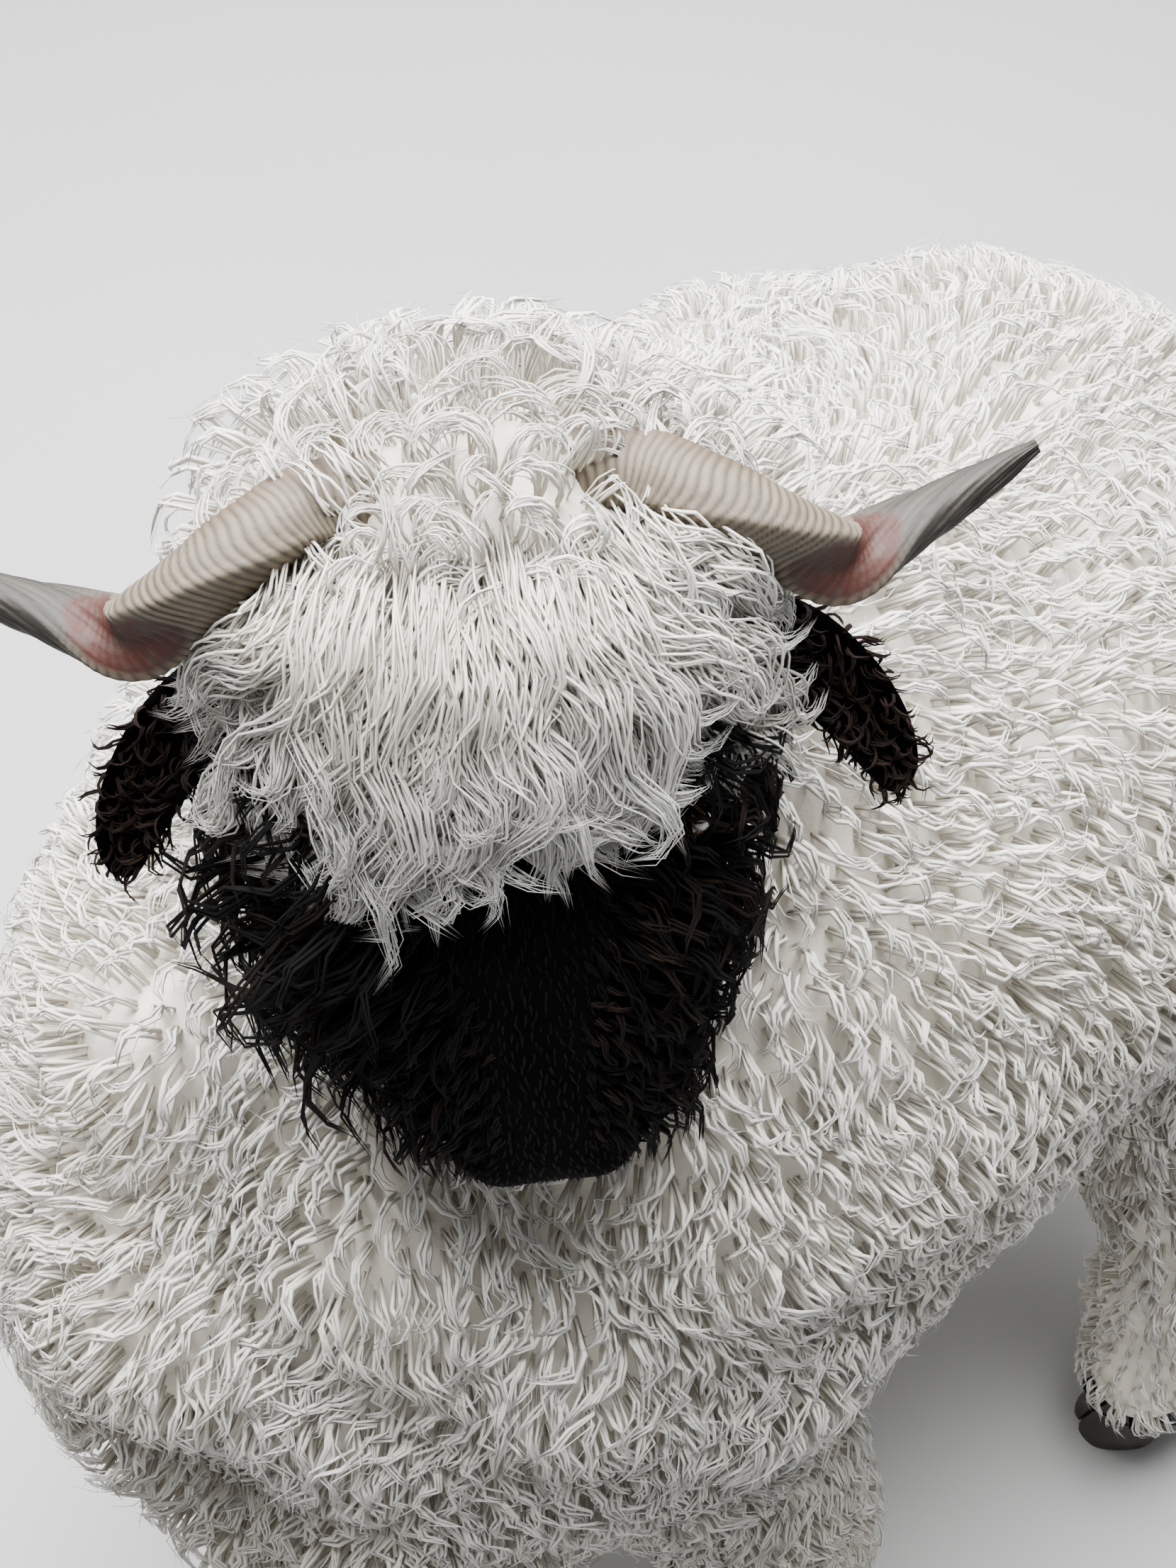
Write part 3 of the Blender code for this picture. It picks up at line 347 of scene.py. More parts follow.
def skull_mesh():
    """The head without its wool, in the head frame."""
    rings = []
    for place, half_width, front, back in smooth(SKULL, 8):
        centre = np.array((0.0, place, (front + back) / 2))
        half = (front - back) / 2
        rings.append(section(centre, np.array((1.0, 0, 0)), np.array((0, 0, 1.0)), half_width,
                             half, half, 72, SKULL_POWER))
    return grid_mesh("skull", rings)


FEATURES = (                     # place, radius and height of the face's rounded forms
    ((0.062, 0.074, 0.024), 0.017, 0.0050),
    ((0.074, 0.118, -0.022), 0.024, 0.0035),
    ((0.060, 0.098, 0.004), 0.015, -0.0050),
    ((0.022, 0.247, -0.012), 0.013, 0.0042),
    ((0.000, 0.262, -0.030), 0.006, -0.0022),
    ((0.000, 0.250, -0.068), 0.014, 0.0030),
    ((0.034, 0.190, 0.006), 0.022, -0.0025),
    ((0.000, 0.150, 0.040), 0.030, 0.0025),
)


def shaped(points, normals):
    """Points of the head with brow, cheek, socket, nostril's wing, chin and nose worked out."""
    result = points.copy()
    for place, radius, height in FEATURES:
        for sign in (-1, 1) if place[0] else (1,):
            away = np.linalg.norm(points - np.array(place) * (sign, 1, 1), axis=1)
            result += normals * (height * np.exp(-(away / radius) ** 2))[:, None]
    return result


def mouth_path(tree, steps=40):
    """Points on the muzzle along the mouth, and the way out of it at each."""
    path = []
    for i in range(steps + 1):
        share = 2 * i / steps - 1
        out = Vector((-math.sin(share * MOUTH_TURN), math.cos(share * MOUTH_TURN), 0))
        start = Vector((0, MOUTH_MIDDLE[0], MOUTH_MIDDLE[1] - MOUTH_DROP * share ** 2))
        path.append((tree.ray_cast(start, out)[0], out))
    return path


def tube(name, path, radii, across, count, closed=False):
    """A skin along a path, with its own wide axis."""
    rings = []
    last = len(path) - 1
    for i, point in enumerate(path):
        after = path[(i + 1) % len(path)] if closed else path[min(i + 1, last)]
        before = path[i - 1] if closed else path[max(i - 1, 0)]
        along = Vector(after - before).normalized()
        wide = (across - along * across.dot(along)).normalized()
        narrow = along.cross(wide)
        half_wide, half_narrow = radii[i] if isinstance(radii, list) else radii
        rings.append(section(np.array(point), np.array(wide), np.array(narrow), half_wide,
                             half_narrow, half_narrow, count, 2.0))
    if not closed:
        return grid_mesh(name, rings)
    verts = np.array(rings).reshape(-1, 3)
    faces = []
    for k in range(len(rings)):
        for i in range(count):
            j = (i + 1) % count
            n = (k + 1) % len(rings)
            faces.append((k * count + i, k * count + j, n * count + j, n * count + i))
    mesh = bpy.data.meshes.new(name)
    mesh.from_pydata([tuple(point) for point in verts], [], faces)
    bm = bmesh.new()
    bm.from_mesh(mesh)
    bmesh.ops.recalc_face_normals(bm, faces=bm.faces)
    bm.to_mesh(mesh)
    bm.free()
    return mesh


def eyelids(sign):
    """The rim of both lids, an almond ring round the eye, in the head frame."""
    look = Vector((EYE_LOOK[0] * sign, EYE_LOOK[1], EYE_LOOK[2])).normalized()
    place = Vector((EYE_PLACE[0] * sign, EYE_PLACE[1], EYE_PLACE[2]))
    ahead = (Vector((0, 1, 0)) - look * look.y).normalized()
    lift = look.cross(ahead) * sign
    out, length, height = LID_RING
    path = []
    for i in range(40):
        a = 2 * math.pi * i / 40
        pinch = 1 - 0.25 * abs(math.cos(a)) ** 3
        path.append(place + look * out + ahead * (length * math.cos(a))
                    + lift * (height * pinch * math.sin(a)))
    return tube("lids", path, LID_HALVES, look, 12, closed=True)


def ear_mesh(sign):
    """One hanging ear, cupped along its length, in the head frame."""
    start, bend, tip = (Vector(point) for point in EAR_PATH)
    steps, arc = 26, 12
    rings = []
    for k in range(steps + 1):
        t = k / steps
        centre = start * (1 - t) ** 2 + bend * (2 * t * (1 - t)) + tip * t ** 2
        along = ((bend - start) * (1 - t) + (tip - bend) * t).normalized()
        out = Vector((0.15, -0.25, 0.95))
        out = (out - along * out.dot(along)).normalized()
        wide = along.cross(out)
        half = EAR_HALF_WIDTH * (0.50 + 0.75 * t) if t < 0.4 else \
            EAR_HALF_WIDTH * 0.80 * math.sqrt(max(0.0, 1 - ((t - 0.4) / 0.605) ** 2)) ** 0.8
        half = max(half, 0.003)
        cup = EAR_CUP * min(1.0, half / EAR_HALF_WIDTH) * (1 - 0.3 * t)
        thick = EAR_THICK * (0.6 + 0.8 * (1 - t))
        front, back = [], []
        for i in range(arc + 1):
            a = -1 + 2 * i / arc
            base = centre + wide * (half * a) + out * (cup * (a * a - 0.5))
            reach = thick * (0.25 + 0.75 * math.sqrt(max(0.0, 1 - a ** 4))) / 2
            front.append(base + out * reach)
            back.append(base - out * reach)
        rings.append([(point.x * sign, point.y, point.z) for point in front + back[::-1]])
    return grid_mesh("ear", rings)


def head_skin():
    """The bare head with lips, mouth, nostrils and lids, in the head frame."""
    pieces = [skull_mesh(), ball("cap", CAP_CENTRE, CAP_RADII), ball("stem", STEM_CENTRE, STEM_RADII)]
    head = remeshed(joined("head_skin", pieces), 0.0026, 5)
    mesh = head.data
    set_coordinates(mesh, shaped(coordinates(mesh), vertex_normals(mesh)))
    tree = tree_of([mesh])
    path = mouth_path(tree)
    lips = []
    for height in (0.0042, -0.0042):
        line = [hit - out * 0.0008 + Vector((0, 0, height)) for hit, out in path]
        lips.append(tube("lip", line, (0.0030, 0.0036), Vector((0, 0, 1)), 12))
    combine(head, [*lips, eyelids(-1), eyelids(1)], "UNION")
    rings = []
    for hit, out in path:
        outer = hit + out * 0.007
        rings.append([hit - out * 0.0035, outer - Vector((0, 0, 0.0018)), outer + Vector((0, 0, 0.0018))])
    cutters = [grid_mesh("groove", rings)]
    for sign in (-1, 1):
        hole = ball("nostril", (0, 0, 0), NOSTRIL_RADII, 24, 16)
        place = Matrix.Translation((NOSTRIL_PLACE[0] * sign, NOSTRIL_PLACE[1], NOSTRIL_PLACE[2]))
        hole.transform(place @ Matrix.Rotation(math.radians(-28 * sign), 4, "Y")
                       @ Matrix.Rotation(math.radians(20), 4, "X"))
        cutters.append(hole)
    combine(head, cutters, "DIFFERENCE")
    combine(head, [ear_mesh(-1), ear_mesh(1)], "UNION")
    return head


def neighbours_max(values, edges, rounds):
    """Each vertex takes the largest value within so many edges of it."""
    for _ in range(rounds):
        spread = values.copy()
        np.maximum.at(spread, edges[:, 0], values[edges[:, 1]])
        np.maximum.at(spread, edges[:, 1], values[edges[:, 0]])
        values = spread
    return values


def neighbours_mean(values, edges, rounds):
    """Each vertex moves to the mean of itself and its neighbours, so many times."""
    count = np.ones(len(values))
    np.add.at(count, edges[:, 0], 1)
    np.add.at(count, edges[:, 1], 1)
    for _ in range(rounds):
        total = values.copy()
        np.add.at(total, edges[:, 0], values[edges[:, 1]])
        np.add.at(total, edges[:, 1], values[edges[:, 0]])
        values = total / count
    return values


def flesh_skin(name, flesh, deepest):
    """A smooth skin inside some nodes of flesh, the height of the coat and the broad way out at each vertex."""
    skin = remeshed(joined(name, flesh), SKIN_VOXEL, SKIN_SOFTENING)
    mesh = skin.data
    flat = np.empty(len(mesh.edges) * 2, dtype=np.int32)
    mesh.edges.foreach_get("vertices", flat)
    edges = flat.reshape(-1, 2)
    points = coordinates(mesh)
    softer = points
    for _ in range(TRUNK_SOFTENING):
        softer = neighbours_mean_of(softer, edges)
    share = step(points[:, 2], 0.33, 0.47)[:, None]
    set_coordinates(mesh, points * (1 - share) + softer * share)
    points, normals = coordinates(mesh), vertex_normals(mesh)
    broad = normals
    for _ in range(TRUNK_SOFTENING):
        broad = neighbours_mean_of(broad, edges)
    tree = tree_of(flesh)
    reach = np.zeros(len(points))
    for i, (point, normal) in enumerate(zip(points, normals)):
        start = Vector(point + normal * ENVELOPE_START)
        hit = tree.ray_cast(start, Vector(-normal), 2 * ENVELOPE_START)
        reach[i] = ENVELOPE_START - hit[3] if hit[0] is not None else 0.0
    reach = neighbours_mean(neighbours_max(reach, edges, ENVELOPE_ROUNDS), edges, ENVELOPE_BLUR)
    height = points[:, 2]
    depth = LEG_COAT_DEPTH + (deepest - LEG_COAT_DEPTH) * step(height, 0.20, 0.34)
    foot = step(height, 0.050, 0.095)
    moved_out = (reach - depth) * foot - 0.002 * (1 - foot)
    points = points + normals * moved_out[:, None]
    for _ in range(2):
        points = neighbours_mean_of(points, edges)
    set_coordinates(mesh, points)
    return skin, np.column_stack((depth * (0.3 + 0.7 * foot), unit(broad)))


def neighbours_mean_of(points, edges):
    """The points, each moved half way to the mean of its neighbours."""
    total, count = np.zeros_like(points), np.zeros(len(points))
    for first, second in ((0, 1), (1, 0)):
        np.add.at(total, edges[:, first], points[edges[:, second]])
        np.add.at(count, edges[:, first], 1)
    return (points + total / count[:, None]) / 2


def apart(spots, spacing):
    """Numbers of the spots that stay when none may lie nearer than the spacing to another."""
    cells = np.floor(spots / spacing).astype(int).tolist()
    around = [(i, j, k) for i in (-1, 0, 1) for j in (-1, 0, 1) for k in (-1, 0, 1)]
    least = spacing * spacing
    grid, kept = {}, []
    for number, ((cx, cy, cz), (x, y, z)) in enumerate(zip(cells, spots.tolist())):
        free = True
        for i, j, k in around:
            for a, b, c in grid.get((cx + i, cy + j, cz + k), ()):
                if (a - x) * (a - x) + (b - y) * (b - y) + (c - z) * (c - z) < least:
                    free = False
                    break
            if not free:
                break
        if free:
            grid.setdefault((cx, cy, cz), []).append((x, y, z))
            kept.append(number)
    return np.array(kept)


def spread_roots(mesh, spacing, rng, extra=None):
    """Points over a mesh, evenly apart, with their normals and extra values."""
    points, normals, faces = coordinates(mesh), vertex_normals(mesh), triangles(mesh)
    corners = points[faces]
    cross = np.cross(corners[:, 1] - corners[:, 0], corners[:, 2] - corners[:, 0])
    area = np.linalg.norm(cross, axis=1) / 2
    tries = int(area.sum() / spacing ** 2 * 5)
    chosen = rng.choice(len(faces), tries, p=area / area.sum())
    u, v = rng.random(tries), rng.random(tries)
    flip = u + v > 1
    u[flip], v[flip] = 1 - u[flip], 1 - v[flip]
    weights = np.stack((1 - u - v, u, v), axis=1)
    spots = np.einsum("nk,nkd->nd", weights, corners[chosen])
    kept = apart(spots, spacing)
    around = unit(np.einsum("nk,nkd->nd", weights[kept], normals[faces[chosen[kept]]]))
    values = None
    if extra is not None:
        values = np.einsum("nk,nkd->nd", weights[kept], extra[faces[chosen[kept]]])
    return spots[kept], around, values


def tangent(vectors, normals):
    """The part of each vector that lies in the surface, with length 1."""
    return unit(vectors - normals * np.sum(vectors * normals, axis=1)[:, None])


def drift(points, wavelength, rng):
    """A smooth random field over the points, from about -1 to 1."""
    total = np.zeros(len(points))
    for _ in range(6):
        way = unit(rng.normal(0, 1, (1, 3)))[0] * (2 * math.pi / wavelength) * rng.uniform(0.6, 1.4)
        total += np.sin(points @ way + rng.uniform(0, 2 * math.pi))
    return total / 2.4


def curled(roots, normals, lies, height, length, turn, start, segments, bow=0.6, droop=0.12,
           wave=0.0, phase=0.0):
    """Centrelines of tufts that rise from the skin, lie over and curl in the coat's surface."""
    side = np.cross(normals, lies)
    t = np.linspace(0, 1, segments + 1)
    middle = (t[1:] + t[:-1]) / 2
    phi = start[:, None] + turn[:, None] * middle[None, :] ** 1.4
    phi = phi + np.asarray(wave)[..., None] * np.sin(2 * math.pi * (1.25 * middle + np.asarray(phase)[..., None]))
    stride = (length / segments)[:, None] * (0.35 + 0.65 * np.clip(middle / 0.5, 0, 1))
    none = np.zeros((len(roots), 1))
    a = np.concatenate((none, np.cumsum(np.cos(phi) * stride, axis=1)), axis=1)
    b = np.concatenate((none, np.cumsum(np.sin(phi) * stride, axis=1)), axis=1)
    fall = np.asarray(droop)[..., None] * np.clip((t - bow) / (1 - bow), 0, 1) ** 2
    lift = 1 - (1 - np.clip(t / bow, 0, 1)) ** 2 - fall
    return (roots[:, None] + lies[:, None] * a[..., None] + side[:, None] * b[..., None]
            + normals[:, None] * (height[:, None] * lift)[..., None])


def bundled(paths, outward, strands, radius, rng, gather=0.8, frizz=0.0):
    """Each path turned into several strands that lie side by side and meet at the tip."""
    count, rows = paths.shape[:2]
    along = unit(np.gradient(paths, axis=1))
    across = unit(np.cross(along, outward[:, None]))
    up = np.cross(across, along)
    t = np.linspace(0, 1, rows)
    close = (1 - gather * t ** 1.5)[None, :, None]
    result = []
    for k in range(strands):
        place = (k + 0.5) / strands * 2 - 1
        aside = (place + rng.normal(0, 0.16, count)) * radius
        rise = (0.5 * (1 - place ** 2) + rng.normal(0, 0.30, count)) * radius * 0.6
        weave = np.sin(2 * math.pi * (rng.uniform(0.7, 1.5, count)[:, None] * t + rng.random(count)[:, None]))
        aside = aside[:, None] + weave * (0.45 * radius)[:, None]
        strand = paths + across * close * aside[..., None] + up * close * rise[:, None, None]
        if frizz:
            strand = strand + rng.normal(0, frizz, strand.shape) * t[None, :, None]
        slip = along * (rng.uniform(-0.5, 0.5, count) * radius)[:, None, None] * t[None, :, None] * 2
        result.append(strand + slip)
    return np.concatenate(result)


class Coat:
    """Tufts of one kind, gathered and then written as closed, tapered, three-sided meshes."""

    def __init__(self, skin_tree, skin_uv):
        self.parts = []
        self.tree = skin_tree
        self.uv = skin_uv

    def add(self, paths, outward, width, vary, tint, flat=0.75, profile=(0.75, 1.0, 0.72)):
        """Add tufts along the paths, with their width, random tone and share of the tinted colour, which is painted
        shade on the lower fleece.
        """
        self.parts.append((paths, outward, width, vary, tint, flat, profile))

    def write(self, name, material, slot):
        """Make pieces of at most so many triangles."""
        pieces = []
        for paths, outward, width, vary, tint, flat, profile in self.parts:
            segments = paths.shape[1] - 1
            each = 6 * (segments - 1) + 4
            most = PIECE_TRIANGLES // each
            order = np.lexsort((paths[:, 0, 2], np.round(paths[:, 0, 1] * 6)))
            for low in range(0, len(order), most):
                pick = order[low:low + most]
                number = len(pieces) + 1
                pieces.append(self.piece(f"{name}_{number}", paths[pick], outward[pick], width[pick],
                                         vary[pick], tint[pick], flat, profile, material, slot))
        return pieces

    def piece(self, name, paths, outward, width, vary, tint, flat, profile, material, slot):
        """One mesh of tufts."""
        count, rows = paths.shape[:2]
        segments = rows - 1
        along = unit(np.gradient(paths, axis=1))
        across = unit(np.cross(along, outward[:, None]))
        up = np.cross(across, along)
        t = np.linspace(0, 1, rows)
        shape = np.interp(t, (0, 0.3, 0.7, 1.0), (*profile, 0.0))
        radius = width[:, None] * shape[None, :]
        rings = []
        for angle in (90, 210, 330):
            c, s = math.cos(math.radians(angle)), math.sin(math.radians(angle))
            rings.append(paths + (across * c + up * (s * flat)) * radius[..., None])
        rings = np.stack(rings, axis=2)[:, :-1]
        verts = np.concatenate((rings.reshape(count, -1, 3), paths[:, -1:]), axis=1)
        each = verts.shape[1]
        quads, fans = [], []
        for k in range(segments - 1):
            for i in range(3):
                j = (i + 1) % 3
                quads.append((3 * k + i, 3 * k + j, 3 * k + 3 + j, 3 * k + 3 + i))
        tip = each - 1
        for i in range(3):
            fans.append((3 * (segments - 1) + i, 3 * (segments - 1) + (i + 1) % 3, tip))
        fans.append((2, 1, 0))
        quads, fans = np.array(quads), np.array(fans)
        base = (np.arange(count) * each)[:, None, None]
        loops = np.concatenate(((quads[None] + base).reshape(count, -1),
                                (fans[None] + base).reshape(count, -1)), axis=1)
        sizes = np.concatenate((np.full(len(quads), 4), np.full(len(fans), 3)))
        starts = np.concatenate(((0,), np.cumsum(sizes)[:-1]))
        per = int(sizes.sum())
        mesh = bpy.data.meshes.new(name)
        mesh.vertices.add(count * each)
        mesh.vertices.foreach_set("co", verts.ravel())
        mesh.loops.add(count * per)
        mesh.loops.foreach_set("vertex_index", loops.ravel().astype(np.int32))
        mesh.polygons.add(count * len(sizes))
        begin = (starts[None] + (np.arange(count) * per)[:, None]).ravel()
        mesh.polygons.foreach_set("loop_start", begin.astype(np.int32))
        mesh.update(calc_edges=True)
        mesh.polygons.foreach_set("use_smooth", np.ones(count * len(sizes), dtype=bool))

        ring_u = np.concatenate([[(i / 3, k / segments) for i in range(3)] for k in range(segments)])
        corner = np.concatenate((ring_u, [(0.5, 1.0)]))
        local = corner[np.concatenate((quads.ravel(), fans.ravel()))]
        wrap = np.concatenate([[0, i == 2, i == 2, 0] for _ in range(segments - 1) for i in range(3)]
                              + [[0, i == 2, 0] for i in range(3)] + [[0, 0, 0]])
        local = local + np.stack((wrap, np.zeros(len(wrap))), axis=1)
        place = self.places(paths[:, 0])
        bake = place[:, None] + (local[None] - 0.5) * PATCH
        mesh.uv_layers.new(name="OFBake")
        mesh.uv_layers["OFBake"].data.foreach_set("uv", bake.ravel())
        strand = local[None] * (1.0, 1.0) + np.stack((vary * 7.0, vary * 31.0), axis=1)[:, None]
        mesh.uv_layers.new(name="strand")
        mesh.uv_layers["strand"].data.foreach_set("uv", strand.ravel())
        shade = np.ones((count, each, 4))
        # Red: place along the tuft, which sets the painted shade at its root
        shade[..., 0] = corner[None, :, 1]
        shade[..., 1] = vary[:, None]
        shade[..., 2] = tint[:, None]
        layer = mesh.color_attributes.new("tuft", "FLOAT_COLOR", "POINT")
        layer.data.foreach_set("color", shade.ravel())
        mesh.materials.append(material)
        obj = add_object(name, mesh)
        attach(obj, "root")
        return obj

    def places(self, roots):
        """Each root's place on the unwrap of the skin."""
        faces, corners, maps = self.uv
        result = np.empty((len(roots), 2))
        for i, root in enumerate(roots):
            hit, _, face, _ = self.tree.find_nearest(Vector(root))
            a, b, c = corners[face]
            p = np.array(hit)
            whole = np.cross(b - a, c - a)
            size = max(whole @ whole, 1e-18)
            wb = np.cross(p - a, c - a) @ whole / size
            wc = np.cross(b - a, p - a) @ whole / size
            wb, wc = min(max(wb, 0.0), 1.0), min(max(wc, 0.0), 1.0)
            result[i] = maps[face][0] * (1 - wb - wc) + maps[face][1] * wb + maps[face][2] * wc
        return result


def unwrapped(obj):
    """Unwrap the skin, and return its tree with the map of each triangle."""
    bpy.context.view_layer.objects.active = obj
    obj.select_set(True)
    bpy.ops.object.mode_set(mode="EDIT")
    bpy.ops.mesh.select_all(action="SELECT")
    bpy.ops.uv.smart_project(angle_limit=math.radians(66), island_margin=0.002)
    bpy.ops.object.mode_set(mode="OBJECT")
    obj.select_set(False)
    mesh = obj.data
    points, faces = coordinates(mesh), triangles(mesh)
    flat = np.empty(len(mesh.loop_triangles) * 3, dtype=np.int32)
    mesh.loop_triangles.foreach_get("loops", flat)
    uv = np.empty(len(mesh.loops) * 2)
    mesh.uv_layers.active.data.foreach_get("uv", uv)
    maps = uv.reshape(-1, 2)[flat.reshape(-1, 3)]
    return tree_of([mesh]), (faces, points[faces], maps)


def step(values, low, high):
    """Smooth rise from 0 at low to 1 at high."""
    t = np.clip((values - low) / (high - low), 0, 1)
    return t * t * (3 - 2 * t)


def patches(points):
    """How black the coat of trunk and legs is at each point: feet, knees and hocks."""
    height = points[:, 2]
    black = 1 - step(height, 0.084, 0.096)
    for place, radius in DARK_SPOTS:
        away = np.linalg.norm((points - np.array(place)) / np.array(radius), axis=1)
        black = np.maximum(black, 1 - step(away, 0.8, 1.1))
    return black


def face_marking(points, to_head):
    """How black the head is at each point, 0 to 1."""
    q = moved(points, to_head)
    x, y, z = np.abs(q[:, 0]), q[:, 1], q[:, 2]
    face = step(y, 0.024, 0.040) * step(z, -0.150, -0.125)
    side = step(x, 0.062, 0.072) * step(y, -0.004, 0.010) * step(z, -0.130, -0.110)
    return np.maximum(face, side)


def node_tree(name):
    """A new material with its shader and a helper to add nodes."""
    mat = bpy.data.materials.new(name)
    mat.use_nodes = True
    return mat, mat.node_tree, mat.node_tree.nodes["Principled BSDF"]


def add_node(tree, kind, **settings):
    """A node with its sockets set or linked."""
    node = tree.nodes.new(kind)
    for key, value in settings.items():
        setattr(node, key, value)
    return node


def link(tree, source, target):
    """Join two sockets."""
    tree.links.new(source, target)


def mixed(tree, share, first, second):
    """Mix two colours, each a socket or a tuple, by a share that is a socket or a number."""
    mix = add_node(tree, "ShaderNodeMix", data_type="RGBA")
    for socket, value in ((mix.inputs[0], share), (mix.inputs[6], first), (mix.inputs[7], second)):
        if isinstance(value, bpy.types.NodeSocket):
            link(tree, value, socket)
        else:
            socket.default_value = (*value, 1.0) if isinstance(value, tuple) else value
    return mix.outputs[2]


def ramped(tree, value, low, high):
    """Map a value from low..high to 0..1."""
    span = add_node(tree, "ShaderNodeMapRange")
    span.inputs["From Min"].default_value = low
    span.inputs["From Max"].default_value = high
    link(tree, value, span.inputs["Value"])
    return span.outputs["Result"]


def noise(tree, scale, detail=3.0, vector=None):
    """A noise texture in object space, or along the given vector."""
    texture = add_node(tree, "ShaderNodeTexNoise")
    texture.inputs["Scale"].default_value = scale
    texture.inputs["Detail"].default_value = detail
    if vector is None:
        vector = add_node(tree, "ShaderNodeTexCoord").outputs["Object"]
    link(tree, vector, texture.inputs["Vector"])
    return texture.outputs["Fac"]


def strand_bump(tree, shader, strength, distance):
    """Fine hairs along each tuft. Returns their height."""
    uv = add_node(tree, "ShaderNodeUVMap", uv_map="strand")
    scale = add_node(tree, "ShaderNodeMapping")
    scale.inputs["Scale"].default_value = (24.0, 1.6, 1.0)
    link(tree, uv.outputs["UV"], scale.inputs["Vector"])
    hair = noise(tree, 1.3, 2.0, scale.outputs["Vector"])
    bump = add_node(tree, "ShaderNodeBump")
    bump.inputs["Strength"].default_value = strength
    bump.inputs["Distance"].default_value = distance
    link(tree, hair, bump.inputs["Height"])
    link(tree, bump.outputs["Normal"], shader.inputs["Normal"])
    return hair


def scaled(tree, value, factor):
    """A socket's value times a number."""
    product = add_node(tree, "ShaderNodeMath", operation="MULTIPLY")
    link(tree, value, product.inputs[0])
    product.inputs[1].default_value = factor
    return product.outputs[0]


def coat_material(name, root, tip, patchy, patch_share, tinted, roughness, sheen, specular):
    """Wool: painted shade at the root, lighter to the tip, each tuft a little different, with slow patches and fine
    hairs with painted shade in their grooves.
    """
    mat, tree, shader = node_tree(name)
    tuft = add_node(tree, "ShaderNodeVertexColor", layer_name="tuft")
    split = add_node(tree, "ShaderNodeSeparateColor")
    link(tree, tuft.outputs["Color"], split.inputs["Color"])
    # Darker towards each tuft's root: painted shade deep in the coat
    base = mixed(tree, ramped(tree, split.outputs["Red"], 0.10, 0.65), root, tip)
    slow = ramped(tree, noise(tree, 3.2), 0.42, 0.66)
    base = mixed(tree, scaled(tree, slow, patch_share), base, patchy)
    base = mixed(tree, scaled(tree, split.outputs["Green"], 0.26), base, root)
    hair = strand_bump(tree, shader, 0.7, 0.0007)
    # Darker in the low grooves between the fine hairs: painted shade
    base = mixed(tree, scaled(tree, ramped(tree, hair, 0.56, 0.36), 0.45), base, root)
    # Blue: share of the tinted colour; on the lower fleece this is painted shade
    base = mixed(tree, split.outputs["Blue"], base, tinted)
    link(tree, base, shader.inputs["Base Color"])
    shader.inputs["Roughness"].default_value = roughness
    shader.inputs["Sheen Weight"].default_value = sheen
    shader.inputs["Sheen Roughness"].default_value = 0.45
    shader.inputs["Specular IOR Level"].default_value = specular
    return mat


def skin_material():
    """Underwool in painted shade and short black fur, parted by the coat's markings."""
    mat, tree, shader = node_tree("skin")
    mark = add_node(tree, "ShaderNodeVertexColor", layer_name="marking")
    split = add_node(tree, "ShaderNodeSeparateColor")
    link(tree, mark.outputs["Color"], split.inputs["Color"])
    # The pale skin is deep wool in painted shade, between a darker beige and the shaded root colour
    pale = mixed(tree, ramped(tree, noise(tree, 60.0), 0.35, 0.7), UNDERWOOL_SHADE, WOOL_ROOT_SHADE)
    dark = mixed(tree, ramped(tree, noise(tree, 45.0), 0.50, 0.9), BLACK, BLACK_TIP)
    link(tree, mixed(tree, split.outputs["Red"], pale, dark), shader.inputs["Base Color"])
    shader.inputs["Roughness"].default_value = 0.80
    shader.inputs["Specular IOR Level"].default_value = 0.02
    bump = add_node(tree, "ShaderNodeBump")
    bump.inputs["Strength"].default_value = 0.5
    bump.inputs["Distance"].default_value = 0.0008
    link(tree, noise(tree, 420.0, 2.0), bump.inputs["Height"])
    link(tree, bump.outputs["Normal"], shader.inputs["Normal"])
    return mat


def horn_material():
    """Worn horn, in the shades marked on its points, with fine pits and scratches."""
    mat, tree, shader = node_tree("horn")
    mark = add_node(tree, "ShaderNodeVertexColor", layer_name="horn")
    worn = scaled(tree, ramped(tree, noise(tree, 150.0, 5.0), 0.48, 0.72), 0.45)
    link(tree, mixed(tree, worn, mark.outputs["Color"], HORN_GREY), shader.inputs["Base Color"])
    shader.inputs["Roughness"].default_value = 0.66
    shader.inputs["Specular IOR Level"].default_value = 0.35
    bump = add_node(tree, "ShaderNodeBump")
    bump.inputs["Strength"].default_value = 0.55
    bump.inputs["Distance"].default_value = 0.0006
    link(tree, noise(tree, 300.0, 5.0), bump.inputs["Height"])
    link(tree, bump.outputs["Normal"], shader.inputs["Normal"])
    return mat


def eye_material():
    """A dark brown iris with a level pupil, under a wet cornea."""
    mat, tree, shader = node_tree("eye")
    mark = add_node(tree, "ShaderNodeVertexColor", layer_name="iris")
    split = add_node(tree, "ShaderNodeSeparateColor")
    link(tree, mark.outputs["Color"], split.inputs["Color"])
    iris = mixed(tree, ramped(tree, noise(tree, 900.0), 0.3, 0.7), (0.060, 0.030, 0.012), (0.14, 0.075, 0.03))
    white = mixed(tree, split.outputs["Red"], (0.28, 0.22, 0.18), iris)
    link(tree, mixed(tree, split.outputs["Green"], white, (0.004, 0.004, 0.005)), shader.inputs["Base Color"])
    shader.inputs["Roughness"].default_value = 0.08
    shader.inputs["Coat Weight"].default_value = 0.6
    return mat


